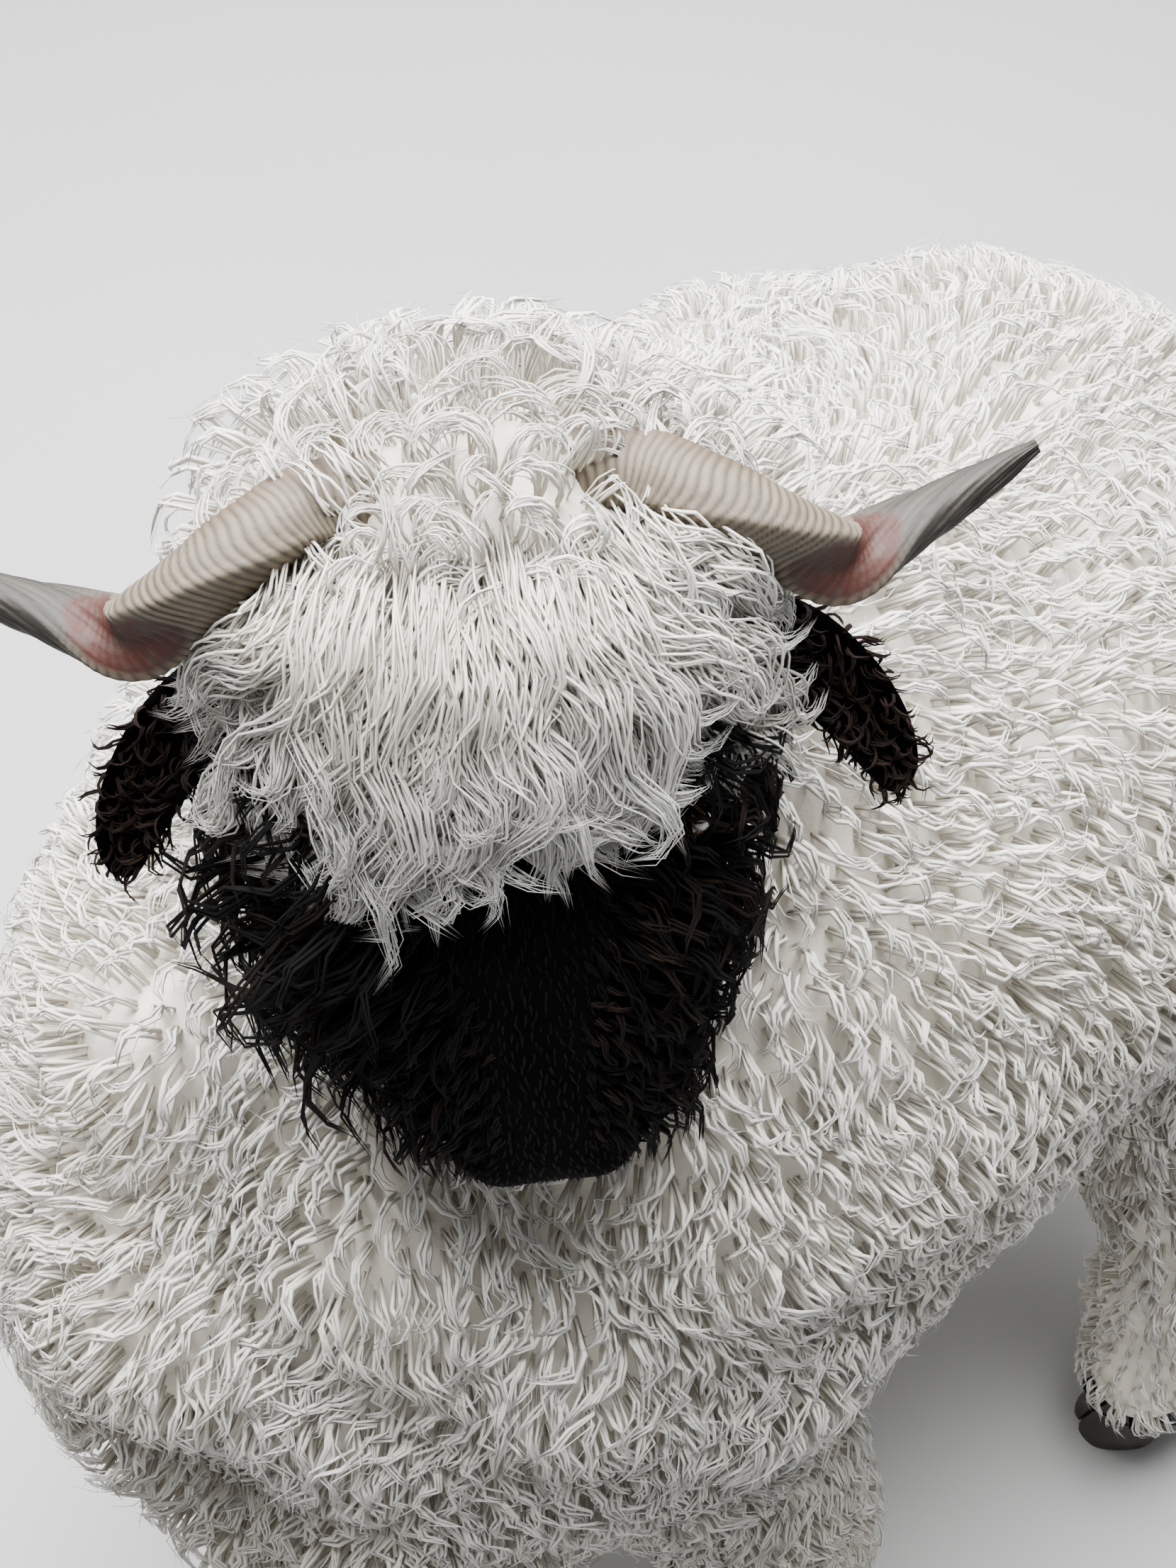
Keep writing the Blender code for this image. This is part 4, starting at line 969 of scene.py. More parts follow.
def hoof_material():
    """Dark horn of the claws, with fine level growth lines and dust."""
    mat, tree, shader = node_tree("hoof")
    dust = ramped(tree, noise(tree, 45.0, 5.0), 0.45, 0.75)
    link(tree, mixed(tree, dust, HOOF_DARK, (0.10, 0.085, 0.065)), shader.inputs["Base Color"])
    shader.inputs["Roughness"].default_value = 0.5
    wave = add_node(tree, "ShaderNodeTexWave", bands_direction="Z")
    wave.inputs["Scale"].default_value = 110.0
    wave.inputs["Distortion"].default_value = 1.5
    link(tree, add_node(tree, "ShaderNodeTexCoord").outputs["Object"], wave.inputs["Vector"])
    bump = add_node(tree, "ShaderNodeBump")
    bump.inputs["Strength"].default_value = 0.35
    bump.inputs["Distance"].default_value = 0.0006
    link(tree, wave.outputs["Fac"], bump.inputs["Height"])
    link(tree, bump.outputs["Normal"], shader.inputs["Normal"])
    return mat


def floor_material():
    """A pale, plain floor."""
    mat, tree, shader = node_tree("floor")
    link(tree, mixed(tree, noise(tree, 2.0), (0.43, 0.43, 0.42), (0.48, 0.48, 0.47)),
         shader.inputs["Base Color"])
    shader.inputs["Roughness"].default_value = 0.8
    return mat


def horn_profile(angles):
    """Reach of the horn's three-cornered section at some angles, 1 at its corners."""
    corners = np.radians(np.array(sorted(HORN_CORNERS)))
    result = np.empty(len(angles))
    for n, angle in enumerate(angles):
        turn = (angle - corners) % (2 * math.pi)
        before = int(np.argmin(turn))
        span = (corners[(before + 1) % 3] - corners[before]) % (2 * math.pi)
        result[n] = math.sin(span) / (math.sin(span - turn[before]) + math.sin(turn[before]))
    return 0.42 * result + 0.58


def blend(first, second, share):
    """A colour between two, or an array of them."""
    share = np.asarray(share)[..., None]
    return np.asarray(first) * (1 - share) + np.asarray(second) * share


def near_angle(angles, middle, width):
    """1 where an angle lies at the middle in degrees, falling off over the width in degrees."""
    away = (angles - math.radians(middle) + math.pi) % (2 * math.pi) - math.pi
    return np.exp(-(away / math.radians(width)) ** 2)


def horn_object(side, matrix, material):
    """One three-cornered horn that twists: ringed and pale at first, then hollow, red-brown and worn."""
    sign = -1 if side == "left" else 1
    rows = smooth([(*centre, wide, narrow, twist) for centre, wide, narrow, twist in HORN_PATH], 34)
    path = rows[:, :3] * (sign, 1, 1)
    length = np.concatenate(((0,), np.cumsum(np.linalg.norm(np.diff(path, axis=0), axis=1))))
    angles = 2 * math.pi * np.arange(60) / 60
    own = angles * sign
    profile = horn_profile(own)
    hollow = near_angle(own, HORN_HOLLOW, 34.0)
    lined = near_angle(own, HORN_HOLLOW, 50.0)
    upper = near_angle(own, HORN_CORNERS[0], 26.0)
    rings, shade = [], []
    for i, row in enumerate(rows):
        along = Vector(path[min(i + 1, len(path) - 1)] - path[max(i - 1, 0)]).normalized()
        wide = Vector((0, 0, 1))
        wide = (wide - along * wide.dot(along)).normalized()
        wide = Matrix.Rotation(math.radians(row[5]) * sign, 3, along) @ wide
        narrow = along.cross(wide)
        share = i / (len(rows) - 1)
        fresh = float(1 - step(np.array(share), 0.48, 0.72))
        opened = float(step(np.array(share), 0.34, 0.48) * (1 - step(np.array(share), 0.60, 0.76)))
        tip = float(step(np.array(share), 0.80, 1.0))
        phase = length[i] - 0.0045 * np.cos(own - 0.2) + 0.0010 * np.sin(3 * own) + 0.0012 * math.sin(length[i] * 170)
        wave = (0.5 + 0.5 * np.sin(2 * math.pi * phase / HORN_RING)) ** 0.55
        rough = 0.7 + 0.5 * np.sin(phase * 310 + 2 * own) * np.sin(phase * 130)
        grain = np.sin(own * 13 + 2.2 * math.sin(length[i] * 60)) * np.sin(own * 7 - length[i] * 50)
        lift = HORN_RING_HEIGHT * (fresh * (wave - 0.5) * rough + (1 - fresh) * 1.3 * grain)
        lift = lift - 0.24 * row[4] * hollow * opened
        ring = (np.array(path[i]) + np.outer((row[3] * profile * 1.06 + lift) * np.cos(angles), np.array(wide))
                + np.outer((row[4] * profile * 1.22 + lift) * np.sin(angles), np.array(narrow)))
        ringed = blend(HORN_LINE, HORN_PALE, np.clip(wave * 1.1, 0, 1))
        ringed = blend(ringed, HORN_BROWN, 0.65 * upper)
        weathered = blend(HORN_GREY, HORN_DARK, np.clip(0.45 + 0.55 * grain, 0, 1))
        colour = blend(ringed, weathered, 1 - fresh)
        colour = blend(colour, HORN_RED, np.clip(6.0 * lined * opened - 1.80, 0, 1) * (0.75 + 0.25 * wave))
        colour = blend(colour, HORN_DARK, 0.7 * tip)
        rings.append(ring)
        shade.append(colour)
    mesh = grid_mesh(f"horn_{side}_ringed", rings)
    shade = np.array(shade).reshape(-1, 3)
    shade = np.concatenate((shade, shade[:1], shade[-1:]))
    shade = np.concatenate((shade, np.ones((len(shade), 1))), axis=1)
    layer = mesh.color_attributes.new("horn", "FLOAT_COLOR", "POINT")
    layer.data.foreach_set("color", shade.ravel())
    mesh.transform(matrix)
    mesh.shade_smooth()
    mesh.materials.append(material)
    obj = add_object(f"horn_{side}_ringed", mesh)
    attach(obj, "root")
    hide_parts(f"horn_{side}")
    return obj


def eye_object(side, matrix, material):
    """One eyeball with iris and pupil marked on its points."""
    sign = -1 if side == "left" else 1
    place = Vector((EYE_PLACE[0] * sign, EYE_PLACE[1], EYE_PLACE[2]))
    mesh = ball(f"eyeball_{side}", place, (EYE_RADIUS,) * 3, 64, 48)
    look = np.array((EYE_LOOK[0] * sign, EYE_LOOK[1], EYE_LOOK[2]))
    look = look / np.linalg.norm(look)
    ahead = unit(np.array([(0, 1, 0)]) - look * look[1])[0]
    lift = np.cross(look, ahead)
    local = (coordinates(mesh) - np.array(place)) / EYE_RADIUS
    out, along, up = local @ look, local @ ahead, local @ lift
    iris = step(out, 0.62, 0.70)
    pupil = (1 - step(np.abs(along), 0.34, 0.40)) * (1 - step(np.abs(up), 0.11, 0.15)) * (out > 0)
    bulge = 1 + 0.06 * step(out, 0.55, 0.95)
    set_coordinates(mesh, np.array(place) + local * EYE_RADIUS * bulge[:, None])
    shade = np.stack((iris, pupil, np.zeros(len(out)), np.ones(len(out))), axis=1)
    layer = mesh.color_attributes.new("iris", "FLOAT_COLOR", "POINT")
    layer.data.foreach_set("color", shade.ravel())
    mesh.transform(matrix)
    mesh.shade_smooth()
    mesh.materials.append(material)
    obj = add_object(f"eyeball_{side}", mesh)
    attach(obj, "root")
    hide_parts(f"eye_{side}")
    return obj


def claw_mesh(sign):
    """One claw of a foot, toe towards -Y, with its flat sole on the floor."""
    outline = smooth(((0.0, 0.42), (0.5, 0.50), (0.95, 0.30), (1.0, -0.05), (0.80, -0.38),
                      (0.30, -0.52), (0.0, -0.50)), 4)
    rings = []
    for height, size, lean in smooth(((0.0, 0.97, 0.0), (0.002, 1.0, 0.0), (0.016, 0.97, 0.003),
                                      (0.032, 0.84, 0.008), (0.046, 0.64, 0.011)), 3):
        rings.append([(sign * (CLEFT / 2 + max(x, 0.0) * CLAW_WIDTH * size),
                       y * CLAW_LENGTH * size + lean, max(height, 0.0)) for x, y in outline])
    return grid_mesh("claw", rings)


def hoof_object(name, centre, turn, material):
    """A cloven foot with its pastern, which runs up into the wool of the leg."""
    rings = []
    for height, width, length in smooth(((0.026, 0.0205, 0.016), (0.040, 0.0215, 0.021),
                                         (0.056, 0.0220, 0.024), (0.075, 0.0240, 0.026),
                                         (0.100, 0.0260, 0.028)), 3):
        rings.append(section(np.array((0, 0.010, height)), np.array((1.0, 0, 0)), np.array((0, 1.0, 0)),
                             width, length, length, 24, 2.0))
    obj = add_object(f"{name}_cloven", grid_mesh("pastern", rings))
    combine(obj, [claw_mesh(1), claw_mesh(-1)], "UNION")
    obj.data.transform(Matrix.Translation(centre) @ Matrix.Rotation(turn, 4, "Z"))
    obj.data.name = f"{name}_cloven"
    obj.data.shade_smooth()
    obj.data.materials.clear()
    obj.data.materials.append(material)
    soften = obj.modifiers.new("edge", "BEVEL")
    soften.width = 0.0008
    soften.segments = 2
    soften.limit_method = "ANGLE"
    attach(obj, "root")
    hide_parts(name)
    return obj


def dome(x, y):
    """Height of the forelock's top above the face at places on the forehead."""
    return LOCK_HEIGHT - LOCK_SIDE_FALL * x * x - LOCK_FRONT_FALL * y * y


def skull_front(x, y, tree):
    """Height of the bare head at places on the forehead."""
    result = np.empty(len(x))
    for i in range(len(x)):
        hit = tree.ray_cast(Vector((x[i], y[i], 0.2)), Vector((0, 0, -1)))[0]
        result[i] = hit.z if hit is not None else 0.0
    return result


def forelock(coat, tree, matrix, rng):
    """Wavy locks that fan from the parting over the face, in layers down to the forehead."""
    count, segments = LOCK_COUNT, 10
    number = np.arange(count)
    upper = number < 0.66 * count
    y0 = np.where(upper, rng.uniform(-0.018, 0.028, count), rng.uniform(0.026, 0.064, count))
    x0 = np.where(upper, 0.080, 0.086) * (2 * ((number * 0.618034) % 1) - 1)
    level = np.where(upper, rng.uniform(0.60, 1.0, count), rng.uniform(0.30, 0.75, count))
    theta = np.radians(64) * (x0 / 0.066) * np.clip(1 - y0 / 0.13, 0.25, 1)
    theta = np.clip(theta, -math.radians(70), math.radians(70)) + rng.normal(0, 0.09, count)
    reach, gain = LOCK_REACH
    turn_up, right_rise, left_rise = LOCK_RISE
    s = np.zeros(count)
    open_ = np.ones(count, dtype=bool)
    px, py = x0.copy(), y0.copy()
    for _ in range(60):
        bend = theta * (1 - 0.70 * np.clip(s / 0.11, 0, 1))
        px = np.where(open_, px + 0.003 * np.sin(bend), px)
        py = np.where(open_, py + 0.003 * np.cos(bend), py)
        s = np.where(open_, s + 0.003, s)
        rise = np.where(px > 0, right_rise, left_rise) * np.maximum(np.abs(px) - turn_up, 0) ** 2
        open_ &= (py < reach + gain * px - rise) & (np.abs(px) < LOCK_SIDE)
    length = np.maximum(s * rng.uniform(0.82, 1.24, count), 0.042)
    t = np.linspace(0, 1, segments + 1)
    phase, wave = rng.random(count), rng.uniform(0.046, 0.080, count)
    swing, hook = rng.uniform(0.30, 0.80, count), rng.choice((-1, 1), count) * rng.uniform(0.3, 2.3, count)
    xs, ys = [x0], [y0]
    for k in range(segments):
        middle = (k + 0.5) / segments
        heading = theta * (1 - 0.70 * np.clip(length * middle / 0.11, 0, 1))
        heading += swing * (0.35 + 0.9 * middle) * np.sin(2 * math.pi * (length * middle / wave + phase))
        heading += hook * max(0.0, (middle - 0.60) / 0.40) ** 2
        xs.append(xs[-1] + length / segments * np.sin(heading))
        ys.append(ys[-1] + length / segments * np.cos(heading))
    x, y = np.stack(xs, axis=1), np.stack(ys, axis=1)
    turn = 2 * math.pi * (length[:, None] * t[None] / wave[:, None] + phase[:, None])
    low = skull_front(x.ravel(), y.ravel(), tree).reshape(x.shape)
    high = np.maximum(dome(x, y), low + 0.004)
    rise = np.clip(t / 0.22, 0, 1)
    rise = rise * (2 - rise)
    z = low - 0.002 + (high - low) * level[:, None] * rise[None]
    z = z + 0.0030 * np.cos(turn) * rise * (0.3 + t)
    paths = moved(np.stack((x, y, z), axis=2).reshape(-1, 3), matrix).reshape(count, segments + 1, 3)
    out = np.tile(np.array(matrix)[:3, 2], (count, 1))
    radius = LOCK_RADIUS * rng.uniform(0.7, 1.3, count)
    strands = bundled(paths, out, LOCK_STRANDS, radius, rng, 0.88, 0.0003)
    total = len(strands)
    width = rng.uniform(0.0004, 0.0009, total)
    rim = step(np.abs(x[:, -1]), 0.080, 0.105) * (level < 0.75) * rng.uniform(0.2, 1.0, count)
    tint = np.clip(np.tile(rim, LOCK_STRANDS) * rng.uniform(0.3, 1.0, total), 0, 0.9)
    coat.add(strands, np.tile(out, (LOCK_STRANDS, 1)), width, rng.random(total), tint,
             0.7, (0.8, 1.0, 0.7))


def crown(coat, matrix, rng):
    """Fine ringlets over the poll, behind the parting and round the horns."""
    surface = ball("crown", CAP_CENTRE, tuple(radius + 0.001 for radius in CAP_RADII), 64, 48)
    roots, normals, _ = spread_roots(surface, CROWN_SPACING, rng)
    keep = ((roots[:, 1] < 0.022) | (np.abs(roots[:, 0]) > 0.052)) & (roots[:, 2] > -0.045)
    keep &= roots[:, 1] < 0.062
    roots, normals = roots[keep], normals[keep]
    count = len(roots)
    lies = tangent(np.stack((roots[:, 0] * 11, np.full(count, -0.9), np.full(count, 0.1)), axis=1)
                   + rng.normal(0, 0.30, (count, 3)), normals)
    height = rng.uniform(0.010, 0.026, count)
    length = rng.uniform(0.024, 0.044, count)
    turn = rng.choice((-1, 1), count) * rng.uniform(0.8, 4.2, count)
    start = rng.normal(0, 0.35, count)
    paths = curled(roots - normals * 0.002, normals, lies, height, length, turn, start, 8, 0.55,
                   rng.uniform(-0.1, 0.35, count))
    strands = bundled(paths, normals, CROWN_STRANDS, rng.uniform(0.0024, 0.0044, count), rng, 0.7, 0.0004)
    total = len(strands)
    strands = moved(strands.reshape(-1, 3), matrix).reshape(strands.shape)
    rotation = np.array(matrix)[:3, :3]
    parting = np.exp(-((roots[:, 0] - 0.012) / 0.030) ** 2 - ((roots[:, 1] - 0.004) / 0.012) ** 2)
    tint = np.clip(np.tile(parting, CROWN_STRANDS) * 0.35 * rng.uniform(0.2, 1.0, total), 0, 1)
    coat.add(strands, np.tile(normals @ rotation.T, (CROWN_STRANDS, 1)), rng.uniform(0.0004, 0.0010, total),
             rng.random(total), tint, 0.7, (0.8, 1.0, 0.72))
    bpy.data.meshes.remove(surface)


def fur_roots(head, spacing, rng):
    """Places on the bare head where black wool grows, with the share that is cheek or ear."""
    roots, normals, _ = spread_roots(head, spacing, rng)
    x, y, z = np.abs(roots[:, 0]), roots[:, 1], roots[:, 2]
    mirror = np.stack((x, y, z), axis=1)
    ear = (x > 0.080) & (y < 0.150)
    eye = np.linalg.norm(mirror - EYE_PLACE, axis=1) < 0.0205
    mouth = (y > 0.19) & (np.abs(z - MOUTH_MIDDLE[1] + MOUTH_DROP * 0.3) < 0.006)
    nostril = np.linalg.norm(mirror - NOSTRIL_PLACE, axis=1) < 0.012
    throat = (z < -0.128) & ~ear
    crown_side = (y < 0.028) & ~ear & (z > -0.08)
    keep = ~(eye | mouth | nostril | throat | crown_side) & (y > -0.02)
    roots, normals, ear = roots[keep], normals[keep], ear[keep].astype(float)
    x, y, z = np.abs(roots[:, 0]), roots[:, 1], roots[:, 2]
    cheek = step(x, 0.008, 0.058) * (1 - step(y, 0.222, 0.252))
    jaw = step(-z, 0.05, 0.085) * (1 - step(y, 0.225, 0.255))
    cheek = np.clip(cheek + jaw, 0, 1) * (1 - step(z, 0.020, 0.046)) * (1 - ear)
    return roots, normals, cheek, ear


def shaggy(coat, roots, normals, lies, height, length, turn, wave, strands, radius, width, tint, matrix, rng):
    """Bundles of black wool along their lies."""
    count = len(roots)
    paths = curled(roots - normals * 0.0015, normals, lies, height, length, turn,
                   rng.normal(0, 0.22, count), 5, 0.6, rng.uniform(-0.1, 0.25, count), wave, rng.random(count))
    paths = bundled(paths, normals, strands, radius, rng, 0.7, 0.0003)
    total = len(paths)
    paths = moved(paths.reshape(-1, 3), matrix).reshape(paths.shape)
    outward = np.tile(normals @ np.array(matrix)[:3, :3].T, (strands, 1))
    coat.add(paths, outward, np.tile(width, strands) * rng.uniform(0.8, 1.25, total), rng.random(total),
             np.tile(tint, strands) * rng.uniform(0.2, 1.0, total), 0.7, (0.85, 1.0, 0.7))


def face_wool(coat, head, matrix, rng):
    """Black wool: shaggy on cheeks and jaw, frizzy on the ears, and short fur on the muzzle."""
    roots, normals, cheek, ear = fur_roots(head, FACE_SPACING, rng)
    long_ = (cheek > 0.05) & (ear < 0.5)
    roots, normals, cheek = roots[long_], normals[long_], cheek[long_]
    count = len(roots)
    right = step(roots[:, 0], 0.02, 0.05) * step(roots[:, 1], 0.05, 0.10) * (1 - step(roots[:, 1], 0.15, 0.20))
    sign = np.sign(roots[:, 0])
    way = np.stack((sign * (0.62 + 0.6 * right), np.ones(count), np.full(count, -0.42)), axis=1)
    lies = tangent(way + rng.normal(0, 0.16, (count, 3)) * (0.5 + 0.7 * cheek)[:, None], normals)
    height = 0.002 + 0.030 * cheek ** 1.2 * rng.uniform(0.45, 1.08, count) * (1 + 0.85 * right)
    length = 0.010 + 0.036 * cheek * rng.uniform(0.7, 1.25, count) * (1 + 0.65 * right)
    turn = rng.choice((-1, 1), count) * rng.uniform(0.3, 1.3, count) * (0.4 + cheek)
    tint = 0.55 * (rng.random(count) < 0.30)
    shaggy(coat, roots, normals, lies, height, length, turn, 0.6 * cheek, 3, 0.0010 + 0.0022 * cheek,
           0.0005 + 0.0005 * cheek, tint, matrix, rng)

    roots, normals, cheek, ear = fur_roots(head, EAR_SPACING, rng)
    roots, normals = roots[ear > 0.5], normals[ear > 0.5]
    count = len(roots)
    sign = np.sign(roots[:, 0])
    way = np.stack((sign * 0.35, np.ones(count), np.full(count, -0.3)), axis=1)
    lies = tangent(way + rng.normal(0, 0.32, (count, 3)), normals)
    edge = step(np.abs(roots[:, 0]), 0.105, 0.140)
    turn = rng.choice((-1, 1), count) * rng.uniform(0.8, 2.8, count)
    shaggy(coat, roots, normals, lies, rng.uniform(0.003, 0.007, count), rng.uniform(0.009, 0.017, count),
           turn, np.zeros(count), 2, np.full(count, 0.0010), np.full(count, 0.0007), 0.25 + 0.75 * edge,
           matrix, rng)

    roots, normals, cheek, ear = fur_roots(head, MUZZLE_SPACING, rng)
    short = (cheek + ear) < 0.5
    roots, normals = roots[short], normals[short]
    count = len(roots)
    down = np.stack((roots[:, 0] * 4, np.ones(count), np.full(count, -0.35)), axis=1)
    lies = tangent(down + rng.normal(0, 0.10, (count, 3)), normals)
    paths = curled(roots - normals * 0.0006, normals, lies, rng.uniform(0.0006, 0.0015, count),
                   rng.uniform(0.005, 0.008, count), rng.normal(0, 0.3, count), rng.normal(0, 0.1, count), 3)
    paths = moved(paths.reshape(-1, 3), matrix).reshape(paths.shape)
    coat.add(paths, normals @ np.array(matrix)[:3, :3].T, rng.uniform(0.0005, 0.0009, count),
             rng.random(count), np.zeros(count), 0.6, (0.9, 1.0, 0.7))


def fleece(white, black, skin, reach, head_tree, to_head, rng):
    """Curls over trunk, neck and tail, longer wavy locks on the breast, short wool on the legs."""
    roots, normals, values = spread_roots(skin, FLEECE_SPACING, rng, reach)
    height, broad = values[:, 0], unit(values[:, 1:])
    q = moved(roots, to_head)
    inside = np.zeros(len(roots), dtype=bool)
    close = np.where((np.abs(q[:, 0]) < 0.16) & (q[:, 1] > -0.12) & (q[:, 1] < 0.30) & (np.abs(q[:, 2]) < 0.2))[0]
    for i in close:
        tip = Vector(roots[i] + normals[i] * height[i])
        hit, normal, _, away = head_tree.find_nearest(tip)
        inside[i] = (tip - hit).dot(normal) < 0.004 and away < 0.035
    keep = ~inside & (roots[:, 2] > 0.068)
    roots, normals, height, broad = roots[keep], normals[keep], height[keep], broad[keep]
    count = len(roots)
    level = step(normals[:, 2], 0.55, 0.95)
    poll = np.array(to_head.inverted().translation)
    mane = step(roots[:, 2], 0.76, 0.90) * (1 - step(np.linalg.norm(roots - poll, axis=1), 0.20, 0.34))
    breast = step(0.70 - roots[:, 2], 0.0, 0.16) * step(-roots[:, 1], 0.0, 0.14)
    leg = 1 - step(roots[:, 2], 0.20, 0.30)
    aside = (roots[:, 0] - SPINE[0]) - (roots[:, 1] - SPINE[1]) ** 2 * SPINE[2]
    out = np.clip(aside / 0.22, -1, 1) * step(broad[:, 2], -0.5, 0.2)
    rear = 1 - 2 * step(-roots[:, 1], 0.10, 0.26)
    down = np.stack((0.9 * out, (0.30 * (1 - np.abs(out)) + 0.12) * rear, np.full(count, -1.0)), axis=1)
    down = unit(down) * (1 - mane)[:, None] + unit(roots - poll) * (1.1 * mane)[:, None]
    down = tangent(down, broad) + rng.normal(0, 0.10, (count, 3)) * (1 + mane)[:, None]
    lies = tangent(down, normals)
    height = np.maximum(height, 0.004) * rng.uniform(0.86, 1.04, count)
    length = rng.uniform(0.022, 0.034, count) * (1 + 0.50 * breast) * (1 - 0.30 * leg) * (1 + 0.25 * mane)
    hand = np.sign(drift(roots, 0.045, rng) + rng.normal(0, 0.5, count))
    turn = hand * rng.uniform(1.2, 3.0, count) * (1 - 0.50 * breast)
    start = 0.55 * drift(roots, 0.11, rng) * (1 + 0.5 * level) + rng.normal(0, 0.18, count) - turn * 0.35
    wave, phase = 0.65 * breast, rng.random(count)
    droop = rng.uniform(-0.12, 0.22, count)
    radius = rng.uniform(0.0030, 0.0050, count) * (1 - 0.25 * leg)
    # Grey-brown towards the bottom of the body: painted shade of the lower parts, away from the light above
    low_shade = 0.42 * (1 - step(roots[:, 2], 0.30, 0.72)) * rng.uniform(0.4, 1.0, count)
    wisps = curled(roots - normals * 0.002, normals, lies, height, length, turn, start, 4, 0.40, droop,
                   wave, phase)
    wisps = bundled(wisps, normals, WISPS, radius, rng, 0.75)
    shade = rng.random(count)
    hairs = curled(np.tile(roots - normals * 0.002, (HAIRS, 1)), np.tile(normals, (HAIRS, 1)),
                   np.tile(lies, (HAIRS, 1)), np.tile(height, HAIRS) * rng.uniform(0.95, 1.20, HAIRS * count),
                   np.tile(length, HAIRS) * rng.uniform(0.95, 1.2, HAIRS * count),
                   np.tile(turn, HAIRS) * rng.uniform(0.8, 1.3, HAIRS * count),
                   np.tile(start, HAIRS) + rng.normal(0, 0.25, HAIRS * count), 3, 0.40,
                   np.tile(droop, HAIRS) - rng.uniform(0, 0.15, HAIRS * count),
                   np.tile(wave, HAIRS), np.tile(phase, HAIRS))
    dark = patches(roots) > 0.5
    for coat, side in ((white, ~dark), (black, dark)):
        for paths, share, flat, times in ((wisps, 0.37, 0.60, WISPS), (hairs, 0.12, 0.8, HAIRS)):
            width = np.tile(radius, times) * share * rng.uniform(0.8, 1.2, times * count)
            pick = np.tile(side, times) & (paths[..., 2].min(axis=1) > 0.004)
            if pick.any():
                coat.add(paths[pick], np.tile(normals, (times, 1))[pick], width[pick],
                         np.tile(shade, times)[pick], np.tile(low_shade, times)[pick] * (coat is white), flat,
                         (0.75, 1.0, 0.58))


def marked(mesh, values, name):
    """Store one value for each vertex as a colour."""
    shade = np.stack((values, values, values, np.ones(len(values))), axis=1)
    layer = mesh.color_attributes.new(name, "FLOAT_COLOR", "POINT")
    layer.data.foreach_set("color", shade.ravel())


def area_light(name, place, target, size, power, color):
    """A soft light that faces the target."""
    data = bpy.data.lights.new(name, "AREA")
    data.shape = "DISK"
    data.size = size
    data.energy = power
    data.color = color
    obj = bpy.data.objects.new(name, data)
    obj.location = place
    obj.rotation_euler = (Vector(target) - Vector(place)).to_track_quat("-Z", "Y").to_euler()
    bpy.context.scene.collection.objects.link(obj)


def studio(shift):
    """Floor, lights, sky and camera."""
    mesh = bpy.data.meshes.new("floor")
    mesh.from_pydata([(-6, -6, 0), (6, -6, 0), (6, 6, 0), (-6, 6, 0)], [], [(0, 1, 2, 3)])
    mesh.materials.append(floor_material())
    add_object("floor", mesh)
    area_light("key", (1.7, -1.9, 2.6), (0, 0, 0.6), 2.0, 6.0, (1.0, 0.985, 0.95))
    area_light("fill", (-2.4, -1.6, 1.7), (0, 0, 0.6), 2.2, 36.0, (1.0, 0.99, 0.96))
    area_light("top", (-0.5, 0.1, 3.0), (0, 0, 0.7), 2.6, 560.0, (0.975, 0.985, 1.0))
    world = bpy.data.worlds.new("studio")
    world.use_nodes = True
    world.node_tree.nodes["Background"].inputs["Color"].default_value = (0.80, 0.84, 0.90, 1.0)
    world.node_tree.nodes["Background"].inputs["Strength"].default_value = 0.20
    bpy.context.scene.world = world
    data = bpy.data.cameras.new("camera")
    data.lens = CAMERA_LENS
    data.sensor_fit = "AUTO"
    data.sensor_width = SENSOR
    camera = bpy.data.objects.new("camera", data)
    camera.location = Vector(CAMERA_PLACE) + shift
    camera.rotation_euler = CAMERA_TURN
    bpy.context.scene.collection.objects.link(camera)
    bpy.context.scene.camera = camera


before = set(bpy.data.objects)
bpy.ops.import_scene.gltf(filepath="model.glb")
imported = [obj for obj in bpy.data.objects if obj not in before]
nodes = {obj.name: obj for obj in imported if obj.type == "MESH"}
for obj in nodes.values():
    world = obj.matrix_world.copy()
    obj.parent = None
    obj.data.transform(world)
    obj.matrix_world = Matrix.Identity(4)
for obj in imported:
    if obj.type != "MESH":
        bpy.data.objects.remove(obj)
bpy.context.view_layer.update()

low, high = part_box("eye_left")
eye_now = (low + high) / 2
eye_then = head_matrix(Vector((0, 0, 0))) @ Vector((-EYE_PLACE[0], EYE_PLACE[1], EYE_PLACE[2]))
shift = Vector((eye_now.x - eye_then.x, eye_now.y - eye_then.y, 0))
to_world = head_matrix(shift)
to_head = to_world.inverted()

DARK_SPOTS = []
for leg_name, turn in FEET.values():
    fore = leg_name.startswith("fore")
    way = np.array((math.sin(turn), -math.cos(turn), 0.0)) * (1 if fore else -1)
    level = KNEE_HEIGHT if fore else HOCK_HEIGHT
    band = coordinates(nodes[leg_name].data)
    band = band[np.abs(band[:, 2] - level) < 0.04]
    middle = band.mean(axis=0)
    spot = middle + way * np.percentile((band - middle) @ way, 90)
    DARK_SPOTS.append(((spot[0], spot[1], level), SPOT_RADII))
trunk_names = ("torso", "neck", "foreleg_left", "foreleg_right", "hindleg_left", "hindleg_right")
body, reach = flesh_skin("skin", [nodes[name].data for name in trunk_names], COAT_DEPTH)
body_mesh = body.data.copy()
tail, tail_reach = flesh_skin("tail_skin", [nodes["tail"].data], LEG_COAT_DEPTH)
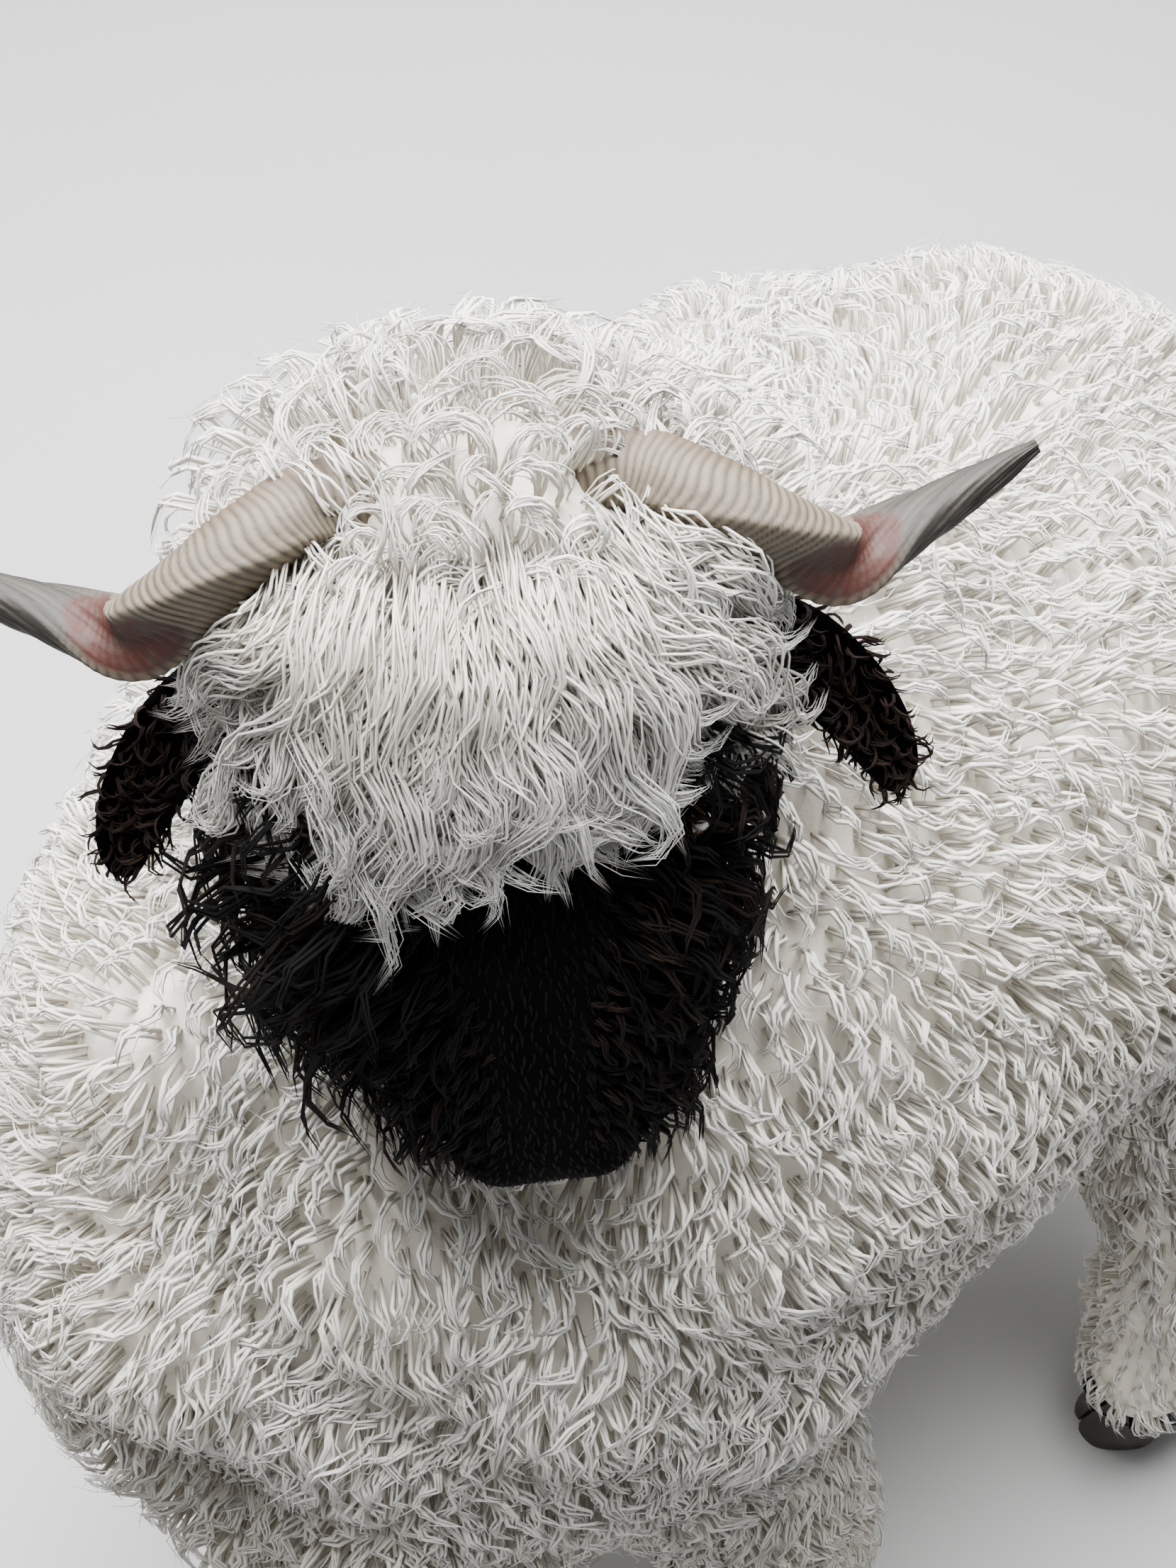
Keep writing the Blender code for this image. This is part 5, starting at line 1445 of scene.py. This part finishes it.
head = head_skin()
face_tree = tree_of([head.data])
head_mesh = head.data.copy()
head.data.transform(to_world)
head_tree = tree_of([head.data])
combine(body, [head.data.copy(), tail.data.copy()], "UNION")
bpy.data.objects.remove(head)
skin_tree, skin_uv = unwrapped(body)
skin_points = coordinates(body.data)
on_head = np.array([head_tree.find_nearest(Vector(point), 0.002)[0] is not None for point in skin_points])
marked(body.data, np.where(on_head, face_marking(skin_points, to_head), patches(skin_points)), "marking")
body.data.materials.clear()
body.data.materials.append(skin_material())
body.data.shade_smooth()
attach(body, "root")
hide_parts("torso", "neck", "head", "tail", "foreleg_left", "foreleg_right",
            "hindleg_left", "hindleg_right", "ear_left", "ear_right")

wool = coat_material("wool", WOOL_ROOT_SHADE, WOOL_TIP, WOOL_YELLOW, 0.34, WOOL_GREY, 0.85, 0.20, 0.25)
black_wool = coat_material("black_wool", BLACK, BLACK_TIP, BROWN_BLACK, 0.08, BROWN_BLACK, 0.70, 0.0, 0.10)
white_coat = Coat(skin_tree, skin_uv)
black_coat = Coat(skin_tree, skin_uv)
fleece(white_coat, black_coat, body_mesh, reach, head_tree, to_head, np.random.default_rng(SEED))
fleece(white_coat, black_coat, tail.data, tail_reach, head_tree, to_head, np.random.default_rng(SEED + 1))
bpy.data.objects.remove(tail)
white_coat.write("fleece", wool, "wool")
face_wool(black_coat, head_mesh, to_world, np.random.default_rng(SEED + 2))
black_coat.write("dark_wool", black_wool, "black_wool")
lock_coat = Coat(skin_tree, skin_uv)
forelock(lock_coat, face_tree, to_world, np.random.default_rng(SEED + 3))
crown(lock_coat, to_world, np.random.default_rng(SEED + 4))
lock_coat.write("forelock", wool, "wool")

horny = horn_material()
wet = eye_material()
hoofy = hoof_material()
for side in ("left", "right"):
    horn_object(side, to_world, horny)
    eye_object(side, to_world, wet)
for name, (leg_name, turn) in FEET.items():
    low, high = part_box(name)
    place = Vector(((low.x + high.x) / 2, (low.y + high.y) / 2, 0))
    hoof_object(name, place, turn, hoofy)

studio(shift)
